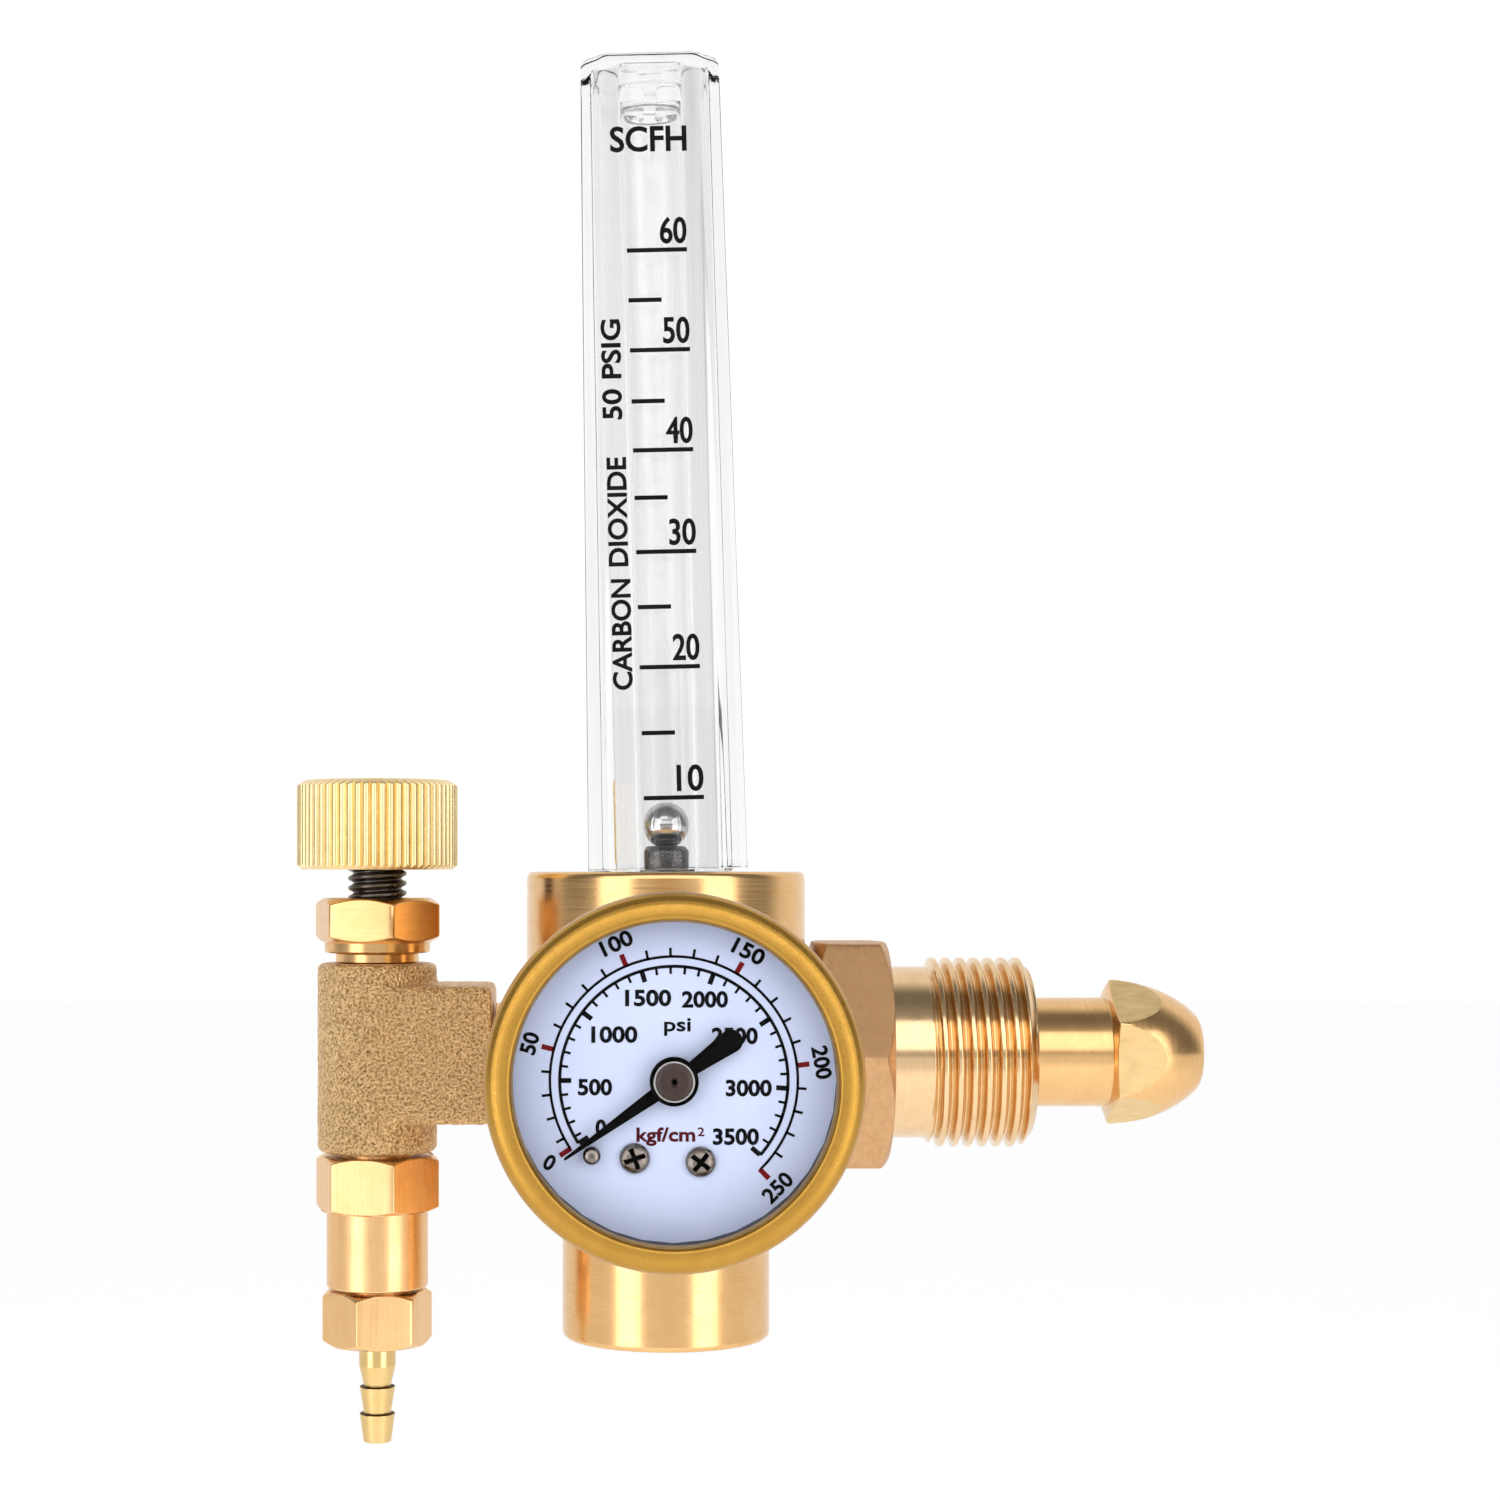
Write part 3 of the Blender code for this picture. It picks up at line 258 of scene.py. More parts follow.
def finish_piece(name, bm, place, material, body, nodes=(), sharp=SMOOTH_ANGLE, weighted=True):
    bmesh.ops.remove_doubles(bm, verts=bm.verts, dist=2e-7)
    bmesh.ops.dissolve_degenerate(bm, edges=bm.edges, dist=1e-7)
    bmesh.ops.recalc_face_normals(bm, faces=bm.faces)
    mesh = bpy.data.meshes.new(name)
    bm.to_mesh(mesh)
    bm.free()
    mesh.shade_smooth()
    mesh.set_sharp_from_angle(angle=math.radians(sharp))
    mesh.materials.append(material)
    piece = bpy.data.objects.new(name, mesh)
    bpy.context.scene.collection.objects.link(piece)
    piece.matrix_world = place
    if weighted:
        modifier = piece.modifiers.new("Weighted normals", "WEIGHTED_NORMAL")
        modifier.keep_sharp = True
    if body is not None:
        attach(piece, body)
        if nodes:
            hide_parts(*nodes)
    return piece


def paint_faces(piece, material, chosen):
    """Give a second material to the faces that the test picks by centre, in mm, and normal."""
    mesh = piece.data
    mesh.materials.append(material)
    for face in mesh.polygons:
        if chosen(face.center / MM, face.normal):
            face.material_index = 1


def rounded(outline, radius, closed=False):
    """The outline with every corner softened to about that radius."""
    points = []
    count = len(outline)
    for index, corner in enumerate(outline):
        here = Vector(corner)
        if not closed and index in (0, count - 1):
            points.append(tuple(here))
            continue
        before = Vector(outline[index - 1]) - here
        after = Vector(outline[(index + 1) % count]) - here
        start = here + before.normalized() * min(radius, before.length * 0.45)
        end = here + after.normalized() * min(radius, after.length * 0.45)
        for step in range(4):
            t = step / 3
            points.append(tuple(start * (1 - t) ** 2 + here * 2 * t * (1 - t) + end * t * t))
    return points


def skin(columns, closed):
    """Faces over profile columns of equal length around the axis; a closed profile is a ring."""
    bm = bmesh.new()
    rows = []
    for angle, profile in columns:
        side = Vector((math.cos(angle), math.sin(angle), 0.0))
        rows.append([bm.verts.new((side * radius + Vector((0, 0, height))) * MM) for radius, height in profile])
    length = len(rows[0])
    for index, row in enumerate(rows):
        other = rows[(index + 1) % len(rows)]
        for low in range(length if closed else length - 1):
            high = (low + 1) % length
            bm.faces.new((row[low], other[low], other[high], row[high]))
    return bm


def spread(count):
    return [math.tau * step / count for step in range(count)]


def turned(name, outline, place, material, body, nodes=(), segments=96, edge=0.15):
    closed = min(radius for radius, height in outline) > 0.0
    profile = rounded(outline, edge, closed)
    bm = skin([(angle, profile) for angle in spread(segments)], closed)
    return finish_piece(name, bm, place, material, body, nodes)


def hexagon_angles(turn):
    """Angles around a hexagon, close together at its corners."""
    steps = (-3.2, -1.6, -0.7, 0.0, 0.7, 1.6, 3.2, 6, 10, 15, 20, 25, 30, 35, 40, 45, 50, 54)
    return [math.radians(turn + 60 * side + step) for side in range(6) for step in steps]


def hexagon_radius(angle, across_flats, turn, sharpness=70.0):
    """Distance from the axis to a hexagon whose corners are slightly rounded."""
    total = 0.0
    for side in range(6):
        reach = math.cos(angle - math.radians(turn + 30 + 60 * side))
        if reach > 0.2:
            total += (across_flats / 2 / reach) ** -sharpness
    return total ** (-1 / sharpness)


def chamfered(radius, corner, low, high, edge=0.16):
    """Profile of one column of a chamfered hexagon; low and high are (radius, outer height, full height)."""
    points = []
    for end, order in ((low, 1), (high, -1)):
        share = (radius - end[0]) / (corner - end[0])
        cross = end[1] + share * (end[2] - end[1])
        slope = Vector((corner - end[0], end[2] - end[1])).normalized() * edge
        inward = (radius - slope.x, cross - slope.y)
        flat = (radius, cross + order * edge)
        soft = ((inward[0] + flat[0] + 2 * radius) / 4, (inward[1] + flat[1] + 2 * cross) / 4)
        part = [(end[0], end[1]), inward, soft, flat]
        points += part if order == 1 else part[::-1]
    return points


def hexagonal(name, across, turn, low, high, before, after, place, material, body, nodes):
    """A piece that is turned apart from one chamfered hexagon between low and high."""
    corner = across / math.sqrt(3)
    columns = []
    for angle in hexagon_angles(turn):
        radius = hexagon_radius(angle, across, turn)
        columns.append((angle, before + chamfered(radius, corner, low, high) + after))
    return finish_piece(name, skin(columns, True), place, material, body, nodes)


INLET_PITCH = 1.814
STEM_PITCH = 1.25


def thread_radius(angle, height, pitch, root, crest):
    """Radius of a screw thread with flat crests and rounded roots."""
    phase = (height / pitch - angle / math.tau) % 1.0
    ridge = min(1.0, max(0.0, 1.35 - 2.9 * abs(phase - 0.5)))
    return root + (crest - root) * (3 * ridge ** 2 - 2 * ridge ** 3)


def steps_between(low, high, step):
    count = max(1, round((high - low) / step))
    return [low + (high - low) * index / count for index in range(count + 1)]


def slab(points, low, high, edge=0.0):
    """A flat plate with softened edges, from a polygon in local x and y."""
    bm = bmesh.new()
    face = bm.faces.new([bm.verts.new((x * MM, y * MM, low * MM)) for x, y in points])
    result = bmesh.ops.extrude_face_region(bm, geom=[face])
    top = [item for item in result["geom"] if isinstance(item, bmesh.types.BMVert)]
    bmesh.ops.translate(bm, verts=top, vec=(0, 0, (high - low) * MM))
    if edge:
        rims = [item for item in bm.edges if abs(item.verts[0].co.z - item.verts[1].co.z) < 1e-9]
        bmesh.ops.bevel(bm, geom=rims, offset=edge * MM, segments=2, affect="EDGES", profile=0.5)
    return bm


def arc(centre, radius, first, last, steps):
    points = []
    for step in range(steps + 1):
        angle = math.radians(first + (last - first) * step / steps)
        points.append((centre[0] + radius * math.cos(angle), centre[1] + radius * math.sin(angle)))
    return points


def baked(piece):
    """The piece with its modifiers made into its mesh."""
    bpy.context.view_layer.update()
    graph = bpy.context.evaluated_depsgraph_get()
    mesh = bpy.data.meshes.new_from_object(piece.evaluated_get(graph))
    piece.modifiers.clear()
    piece.data = mesh
    return piece


def loose(name, bm, place=Matrix.Identity(4)):
    """A helper object that is not part of the result."""
    return finish_piece(name, bm, place, BLACK_AND_RECESS_SHADE, None, weighted=False)


def carve(piece, tool, operation="DIFFERENCE"):
    modifier = piece.modifiers.new(tool.name, "BOOLEAN")
    modifier.operation = operation
    modifier.object = tool
    modifier.solver = "EXACT"


def drop(*tools):
    for tool in tools:
        bpy.data.objects.remove(tool, do_unlink=True)


# ---------------------------------------------------------------- body and bonnet

def build_body():
    outline = [(0.0, 8.0), (4.5, 8.0), (4.5, -2.8), (5.4, -2.8), (5.4, -6.0), (11.0, -6.0), (11.0, -8.5),
               (12.0, -8.5), (12.0, -17.0), (18.0, -17.0), (18.0, 23.4), (8.8, 23.4), (8.8, 17.4),
               (2.6, 17.4), (2.6, 10.8), (0.0, 10.8)]
    turned("body_drum", outline, BODY, TURNED, "regulator", ["body"], 160, edge=0.9)
    outline = [(1.0, -36.75), (13.4, -36.75), (13.4, -17.3), (11.8, -17.3), (11.8, -9.0), (9.5, -9.0),
               (9.5, -33.5), (1.0, -33.5)]
    turned("spring_bonnet", outline, BODY, TURNED, "regulator", ["bonnet"], 160, edge=0.8)


def coil(name, radius, wire, low, high, turns, place, body, nodes):
    steps = turns * 28
    sides = 12
    bm = bmesh.new()
    rings = []
    for step in range(steps + 1):
        angle = math.tau * turns * step / steps
        height = low + (high - low) * step / steps
        outward = Vector((math.cos(angle), math.sin(angle), 0.0))
        centre = outward * radius + Vector((0, 0, height))
        ring = []
        for side in range(sides):
            around = math.tau * side / sides
            offset = outward * math.cos(around) + Vector((0, 0, math.sin(around)))
            ring.append(bm.verts.new((centre + offset * wire) * MM))
        rings.append(ring)
    for first, second in zip(rings, rings[1:]):
        for side in range(sides):
            after = (side + 1) % sides
            bm.faces.new((first[side], first[after], second[after], second[side]))
    bm.faces.new(rings[0])
    bm.faces.new(rings[-1])
    return finish_piece(name, bm, place, STEEL, body, nodes, weighted=False)


def build_springs():
    spring = coil("bonnet_spring", 6.2, 1.1, -32.2, -15.85, 5, BODY, "regulator", ["main_spring"])
    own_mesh(spring)
    coil("valve_spring", 2.3, 0.35, 3.0, 7.5, 4, BODY, "regulator", ["poppet_spring"])


# ---------------------------------------------------------------- inlet

NUT_ACROSS = 28.575
NUT_START = 19.0
NUT_SHOULDER = 28.4
THREAD_START = 33.6
THREAD_END = 46.8
NOSE_START = 56.9
NOSE_ACROSS = 16.35
NOSE_TURN = 3.5
NOSE_RADIUS = 9.45
NOSE_CENTRE = 56.1
NOSE_LENGTH = 14.6
NOSE_TIP = -BODY_X / MM
NOSE_TIP_RADIUS = 4.3


def build_inlet_nut():
    """Swivel nut: a chamfered hexagon, a neck and a helical thread with a chamfered end."""
    corner = NUT_ACROSS / math.sqrt(3)
    heights = steps_between(THREAD_START, THREAD_END, 0.11)
    columns = []
    for angle in sorted(hexagon_angles(30.0)):
        radius = hexagon_radius(angle, NUT_ACROSS, 30.0, 90.0)
        profile = chamfered(radius, corner, (14.4, NUT_START, NUT_START + 1.2),
                            (14.2, NUT_SHOULDER, NUT_SHOULDER - 1.4))
        profile += [(11.5, NUT_SHOULDER), (11.15, NUT_SHOULDER + 0.15), (11.1, NUT_SHOULDER + 0.5),
                    (11.1, THREAD_START - 0.4)]
        for height in heights:
            start_fade = min(1.0, max(0.0, (height - THREAD_START + 0.1) / 0.6))
            ridge = thread_radius(angle, height, INLET_PITCH, 10.95, 12.25)
            ridge = 11.1 + (ridge - 11.1) * start_fade
            end_cut = 12.25 - max(0.0, height - THREAD_END + 1.2) * 1.2
            profile.append((min(ridge, end_cut), height))
        profile += [(7.6, THREAD_END), (7.35, THREAD_END - 0.25), (7.35, 23.7), (8.4, 23.7), (8.4, 22.0),
                    (7.35, 22.0), (7.35, NUT_START)]
        columns.append((angle, profile))
    nut = finish_piece("swivel_nut_threaded", skin(columns, True), INLET, SATIN, "swivel_nut",
                       ["inlet_nut"], sharp=50.0)
    paint_faces(nut, NECK, lambda centre, normal: centre.z > NUT_SHOULDER + 0.05)


def build_nipple():
    """Nipple with a bullet nose that six wrench flats cut into."""
    corner = NOSE_ACROSS / math.sqrt(3)
    tip = math.acos((NOSE_TIP - 0.3 - NOSE_CENTRE) / NOSE_LENGTH)
    back = NOSE_START + 0.75
    columns = []
    for angle in hexagon_angles(NOSE_TURN):
        radius = hexagon_radius(angle, NOSE_ACROSS, NOSE_TURN, 200.0)
        share = (radius - 7.05) / (corner - 7.05)
        profile = [(1.6, NOSE_TIP), (1.6, 14.5), (2.3, 14.5), (2.3, 9.6), (6.5, 9.6), (6.5, 18.0), (6.7, 18.2),
                   (7.05, 18.5), (7.05, NOSE_START - 0.1), (7.12, NOSE_START),
                   (radius - 0.1, NOSE_START + share * 0.5), (radius, NOSE_START + 0.1 + share * 0.5)]
        start = min(math.asin(min(1.0, radius / NOSE_RADIUS)), math.acos((back - NOSE_CENTRE) / NOSE_LENGTH))
        for step in range(15):
            around = start + (tip - start) * step / 14
            profile.append((NOSE_RADIUS * math.sin(around), NOSE_CENTRE + NOSE_LENGTH * math.cos(around)))
        profile += [(NOSE_TIP_RADIUS, NOSE_TIP - 0.05), (NOSE_TIP_RADIUS - 0.3, NOSE_TIP), (1.8, NOSE_TIP)]
        columns.append((angle, profile))
    nose = finish_piece("inlet_nose", skin(columns, True), INLET, TURNED, "regulator",
                        ["inlet_nipple"], sharp=20.0)
    paint_faces(nose, FLATS, lambda centre, normal: centre.z > NOSE_START and abs(normal.z) < 0.02)


# ---------------------------------------------------------------- flow tube

TUBE_BASE = 23.6
COVER_TOP = 127.4
CAP_FOOT = 121.6
CAP_CROWN = 126.0


COVER_SHARPNESS = 55.0
COVER_FOOT = 23.8
COVER_HALF_FOOT = 10.2
COVER_HALF_TOP = 8.93


def cover_radius(angle, half, cut):
    """Distance from the axis to a square with cut corners, its edges slightly rounded."""
    across = abs(math.cos(angle))
    along = abs(math.sin(angle))
    total = ((2 * half - cut) / (across + along)) ** -COVER_SHARPNESS
    for reach in (across, along):
        if reach > 0.05:
            total += (half / reach) ** -COVER_SHARPNESS
    return total ** (-1 / COVER_SHARPNESS)


def build_cover():
    """Tall clear cover: a tapered square tube with cut corners, a closed top and a round spigot."""
    columns = []
    for angle in spread(240):
        profile = [(cover_radius(angle, 6.9, 3.4), 18.9), (8.5, 18.9), (8.5, 23.3), (8.6, TUBE_BASE)]
        for height, half, cut in ((23.65, 10.05, 2.8), (COVER_FOOT, COVER_HALF_FOOT, 2.8), (50.0, 9.88, 2.72),
                                  (80.0, 9.51, 2.64), (110.0, 9.14, 2.56),
                                  (COVER_TOP - 2.0, COVER_HALF_TOP, 2.5), (COVER_TOP - 1.2, 8.84, 2.5),
                                  (COVER_TOP - 0.55, 8.58, 2.5), (COVER_TOP - 0.2, 8.22, 2.4),
                                  (COVER_TOP - 0.05, 7.88, 2.3), (COVER_TOP, 7.4, 2.2), (COVER_TOP, 3.0, 1.0)):
            profile.append((cover_radius(angle, half, cut), height))
        roof = CAP_CROWN + 0.3
        profile += [(0.0, COVER_TOP), (0.0, roof)]
        for height, half, cut in ((roof, 6.0, 2.5), (roof - 0.1, 6.25, 2.6), (roof - 0.4, 6.4, 2.6),
                                  (CAP_FOOT + 1.8, 6.4, 2.6), (70.0, 6.65, 3.0)):
            profile.append((cover_radius(angle, half, cut), height))
        columns.append((angle, profile))
    finish_piece("clear_cover", skin(columns, True), TUBE, COVER_PLASTIC, "regulator",
                 ["flow_cover"], sharp=30.0)


def build_tube():
    outline = [(3.25, 18.2), (5.3, 18.2), (5.3, 121.4), (4.0, 121.4)]
    turned("clear_tube", outline, TUBE, TUBE_PLASTIC, "regulator", ["flow_tube"], 96, edge=0.2)
    outline = [(0.0, CAP_FOOT), (5.35, CAP_FOOT), (5.35, CAP_FOOT + 2.4), (6.1, CAP_FOOT + 2.4),
               (6.1, CAP_CROWN), (0.0, CAP_CROWN)]
    cap = turned("clear_tube_cap", outline, TUBE, TUBE_PLASTIC, "regulator", ["tube_cap"], 72,
                 edge=0.2)
    tools = []
    for turn in (0.0, 90.0):
        bm = slab([(-7, -0.8), (7, -0.8), (7, 0.8), (-7, 0.8)], 121.2, 122.8)
        tools.append(loose("cap_slot", bm, TUBE @ Matrix.Rotation(math.radians(turn), 4, "Z")))
        carve(cap, tools[-1])
    baked(cap)
    drop(*tools)
    outline = [(1.5, 14.6), (2.4, 14.6), (2.4, 17.7), (2.85, 17.7), (3.0, 24.2), (3.0, 26.0), (2.5, 26.65),
               (1.5, 26.7)]
    turned("dark_nozzle", outline, BODY, DARK_STEEL, "regulator", ["flow_nozzle"], 64)
    ring_of("cover_seal", 7.9, 0.55, 18.15, TUBE, RUBBER, "regulator", ["cover_o_ring"])


def ring_of(name, major, minor, height, place, material, body, nodes):
    profile = arc((major, height), minor, 0.0, 345.0, 23)
    bm = skin([(angle, profile) for angle in spread(72)], True)
    return finish_piece(name, bm, place, material, body, nodes, weighted=False)


def build_ball():
    low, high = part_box("flow_ball")
    radius = (high.z - low.z) / 2 / MM
    profile = arc((0.0, 0.0), radius, -90.0, 90.0, 40)
    profile[0] = (0.0, -radius)
    profile[-1] = (0.0, radius)
    bm = skin([(angle, profile) for angle in spread(72)], False)
    finish_piece("float_ball", bm, Matrix.Translation((low + high) / 2), STEEL, "float",
                 ["flow_ball"], weighted=False)


# ---------------------------------------------------------------- lettering

def embolden(mesh, amount):
    """Move the outline of a flat mesh outwards all round, in its own plane."""
    bm = bmesh.new()
    bm.from_mesh(mesh)
    bmesh.ops.remove_doubles(bm, verts=bm.verts, dist=1e-6)
    pushes = {}
    for face in bm.faces:
        for loop in face.loops:
            if loop.edge.is_boundary:
                along = (loop.link_loop_next.vert.co - loop.vert.co).normalized()
                for vert in loop.edge.verts:
                    pushes.setdefault(vert, []).append(along.cross(face.normal))
    for vert, sides in pushes.items():
        direction = sum(sides, Vector()).normalized()
        vert.co += direction * amount / max(0.6, direction.dot(sides[0]))
    bm.to_mesh(mesh)
    bm.free()


def text_mesh(text, height, width=None, weight=0.0):
    """A line of lettering centred on the origin, with its height, width and extra stroke weight in mm."""
    curve = bpy.data.curves.new("lettering", "FONT")
    curve.body = text
    curve.resolution_u = 4
    holder = bpy.data.objects.new("lettering", curve)
    bpy.context.scene.collection.objects.link(holder)
    bpy.context.view_layer.update()
    mesh = bpy.data.meshes.new_from_object(holder.evaluated_get(bpy.context.evaluated_depsgraph_get()))
    drop(holder)
    xs = [vert.co.x for vert in mesh.vertices]
    ys = [vert.co.y for vert in mesh.vertices]
    low, high = Vector((min(xs), min(ys))), Vector((max(xs), max(ys)))
    scale_y = (height - 2 * weight) / (high.y - low.y)
    scale_x = (width - 2 * weight) / (high.x - low.x) if width else scale_y
    centre = (low + high) / 2
    for vert in mesh.vertices:
        vert.co = Vector(((vert.co.x - centre.x) * scale_x, (vert.co.y - centre.y) * scale_y, 0.0))
    embolden(mesh, weight)
    return mesh


PRINT_THICKNESS = 0.03


class Print:
    """Ink on a flat face: flat shapes gathered in local x and y, then given a small thickness."""

    def __init__(self):
        self.bm = bmesh.new()

    def polygon(self, points):
        self.bm.faces.new([self.bm.verts.new((x, y, 0.0)) for x, y in points])

    def bar(self, start, end, width):
        heading = Vector((end[0] - start[0], end[1] - start[1])).normalized()
        side = Vector((-heading.y, heading.x)) * width / 2
        corners = (Vector(start) + side, Vector(start) - side, Vector(end) - side, Vector(end) + side)
        self.polygon([tuple(corner) for corner in corners])

    def ring(self, radius, width, first, last):
        count = max(8, int(abs(last - first) / 2))
        for step in range(count):
            ends = [first + (last - first) * (step + extra) / count for extra in (0, 1)]
            inner = [arc((0, 0), radius - width / 2, end, end, 1)[0] for end in ends]
            outer = [arc((0, 0), radius + width / 2, end, end, 1)[0] for end in ends]
            self.polygon([inner[0], outer[0], outer[1], inner[1]])

    def text(self, text, place, height, width=None, angle=0.0, weight=0.0):
        mesh = text_mesh(text, height, width, weight)
        turn = Matrix.Rotation(math.radians(angle), 4, "Z")
        mesh.transform(Matrix.Translation((place[0], place[1], 0.0)) @ turn)
        self.bm.from_mesh(mesh)
        bpy.data.meshes.remove(mesh)

    def finish(self, name, place, material, body):
        bm = self.bm
        bmesh.ops.remove_doubles(bm, verts=bm.verts, dist=1e-4)
        for face in bm.faces:
            if face.normal.z < 0:
                face.normal_flip()
        bmesh.ops.scale(bm, vec=(MM, MM, MM), verts=bm.verts)
        result = bmesh.ops.extrude_face_region(bm, geom=list(bm.faces), use_keep_orig=True)
        top = [item for item in result["geom"] if isinstance(item, bmesh.types.BMVert)]
        bmesh.ops.translate(bm, verts=top, vec=(0, 0, PRINT_THICKNESS * MM))
        return finish_piece(name, bm, place, material, body, weighted=False, sharp=20.0)


MAJOR_MARKS = ((10, 32.7), (20, 49.2), (30, 63.75), (40, 76.6), (50, 89.26), (60, 101.9))
MINOR_MARKS = (40.9, 56.8, 70.6, 82.8, 95.6)
PRINT_SLANT = 0.008


def build_scale():
    """Scale printed on the front of the cover, whose face leans back with the taper."""
    ink = Print()
    for value, height in MAJOR_MARKS:
        left = -3.05 - PRINT_SLANT * (height - 50.0)
        ink.bar((left, height), (left + 7.6, height), 0.55)
        ink.text(str(value), (left + 5.9, height + 2.45), 3.4, 3.4, weight=0.09)
    for height in MINOR_MARKS:
        left = -3.05 - PRINT_SLANT * (height - 50.0)
        ink.bar((left, height), (left + 4.2, height), 0.55)
    ink.text("SCFH", (-0.45, 116.0), 3.3, 9.7, weight=0.10)
    ink.text("50 PSIG", (-5.75, 86.9), 2.55, 12.7, angle=90.0, weight=0.09)
    ink.text("DIOXIDE", (-5.4, 68.9), 2.55, 13.8, angle=90.0, weight=0.09)
    ink.text("CARBON", (-5.2, 53.4), 2.55, 14.0, angle=90.0, weight=0.09)
    lean = math.atan((COVER_HALF_FOOT - COVER_HALF_TOP) / (COVER_TOP - 2.0 - COVER_FOOT))
    base = Matrix.Translation((0.0, -COVER_HALF_FOOT * MM - 0.0001, COVER_FOOT * MM))
    tilt = Matrix.Rotation(math.radians(90) - lean, 4, "X")
    place = TUBE @ base @ tilt @ Matrix.Translation((0, -COVER_FOOT * MM, 0))
    ink.finish("flow_scale_print", place, INK, "regulator")


# ---------------------------------------------------------------- needle valve

def build_tee():
    """Forged tee with blasted faces and machined ends."""
    outline = [(0.0, -12.9), (7.2, -12.9), (7.7, -12.4), (7.7, 11.1), (7.2, 11.6), (0.0, 11.6)]
    bm = skin([(angle, outline) for angle in spread(96)], False)
    tee = finish_piece("forged_tee", bm, VALVE, CAST, "regulator", ["valve_tee"], weighted=False)
    branch = slab([(0, -7.6), (15.15, -7.6), (15.15, 7.6), (0, 7.6)], -8.85, 8.85, 0.75)
    tools = [loose("branch", branch, VALVE)]
    carve(tee, tools[0], "UNION")
    for radius, low, high in ((5.2, 4.6, 13.0), (3.3, -2.5, 5.5), (1.25, -13.0, -2.0), (5.1, -14.0, -6.0)):
        outline = [(0.0, low), (radius, low), (radius, high), (0.0, high)]
        tools.append(loose("tee_bore", skin([(angle, outline) for angle in spread(32)], False), VALVE))
        carve(tee, tools[-1])
    remesh = tee.modifiers.new("Remesh", "REMESH")
    remesh.mode = "VOXEL"
    remesh.voxel_size = 0.30 * MM
    smooth = tee.modifiers.new("Smooth", "SMOOTH")
    smooth.factor = 0.5
    smooth.iterations = 9
    baked(tee)
    drop(*tools)
    roughen(tee)


def roughen(tee):
    """Grain of the blasted faces; bores and machined ends stay smooth."""
    mesh = tee.data
    normals = [vert.normal.copy() for vert in mesh.vertices]
    for vert, normal in zip(mesh.vertices, normals):
        place = vert.co / MM
        bore = math.hypot(place.x, place.y) < 6.6 and (place.z < -8.9 or place.z > 8.9)
        if bore or place.x > 14.9 or place.z < -12.5 or place.z > 11.2:
            continue
        height = 0.10 * noise.noise(place * 1.6) + 0.06 * noise.noise(place * 3.3)
        vert.co += normal * height * MM
    mesh.materials.clear()
    mesh.materials.append(CAST)
    mesh.shade_smooth()


def build_valve():
    collar = [(3.1, 5.0), (4.9, 5.0), (4.9, 11.55), (5.1, 11.65), (5.4, 11.75), (5.4, 12.75), (5.55, 12.9),
              (6.6, 12.9), (6.85, 13.1), (6.85, 14.05)]
    hexagonal("valve_bonnet_hexagon", 14.6, -71.5, (6.85, 14.2, 15.1), (6.9, 20.0, 19.1), collar,
              [(4.2, 20.0), (3.95, 19.75), (3.95, 11.8), (3.1, 11.8)], VALVE, TURNED, "regulator",
              ["valve_bonnet"])
    build_stem()
    build_knob()
    adapter_low = [(1.5, -6.6), (1.5, -23.5), (4.8, -23.5), (4.8, -30.3), (6.2, -30.4), (6.45, -30.3),
                   (6.55, -30.1), (6.55, -20.6), (6.65, -20.45)]
    hexagonal("outlet_adapter_hexagon", 14.4, -70.7, (7.3, -20.4, -19.9), (7.3, -13.4, -14.0), adapter_low,
              [(4.7, -13.4), (4.7, -6.6)], VALVE, BRUSHED, "regulator", ["outlet_adapter"])
    hexagonal("outlet_nut_hexagon", 12.5, -106.2, (6.2, -37.8, -37.1), (6.3, -30.8, -31.5),
              [(4.6, -26.3), (3.4, -26.3), (3.4, -37.6), (3.6, -37.8)], [(4.6, -30.8)], VALVE, BRUSHED,
              "regulator", ["outlet_nut"])
    outline = [(1.1, -24.4), (4.4, -24.4), (4.4, -26.0), (2.385, -26.0), (2.385, -40.6), (1.79, -43.2),
               (2.3, -43.4), (1.79, -46.7), (2.3, -46.9), (1.8, -50.5), (1.1, -50.5)]
    barb = turned("hose_barb_turned", outline, VALVE, PALE, "regulator", ["hose_barb"], 64,
                  edge=0.06)
    # The top ledge of each barb is coloured near-black: painted shade.
    paint_faces(barb, BARB_LEDGE_SHADE, lambda centre, normal: normal.z > 0.6 and centre.z < -40.0)
    outline = [(1.5, -27.3), (4.8, -27.3), (4.8, -22.0), (6.4, -22.0), (6.4, -18.5), (4.8, -18.5),
               (4.8, -10.8), (1.5, -10.8)]
    turned("valve_link_turned", outline, INLET, TURNED, "regulator", ["valve_link"], 64)


def build_stem():
    lower = [(0.0, -1.5), (0.25, -1.5), (1.5, 2.6), (3.0, 3.6), (3.0, 6.2), (2.1, 6.2), (2.1, 8.0), (3.0, 8.0),
             (3.0, 13.6)]
    columns = []
    for angle in spread(64):
        profile = list(lower)
        for height in steps_between(14.0, 31.2, 0.12):
            profile.append((thread_radius(angle, height, STEM_PITCH, 3.15, 3.8), height))
        columns.append((angle, profile + [(0.0, 31.2)]))
    finish_piece("stem_threaded", skin(columns, False), VALVE, DARK_STEEL, "knob_and_stem",
                 ["valve_stem"], sharp=60.0)


KNOB_FLUTES = 60


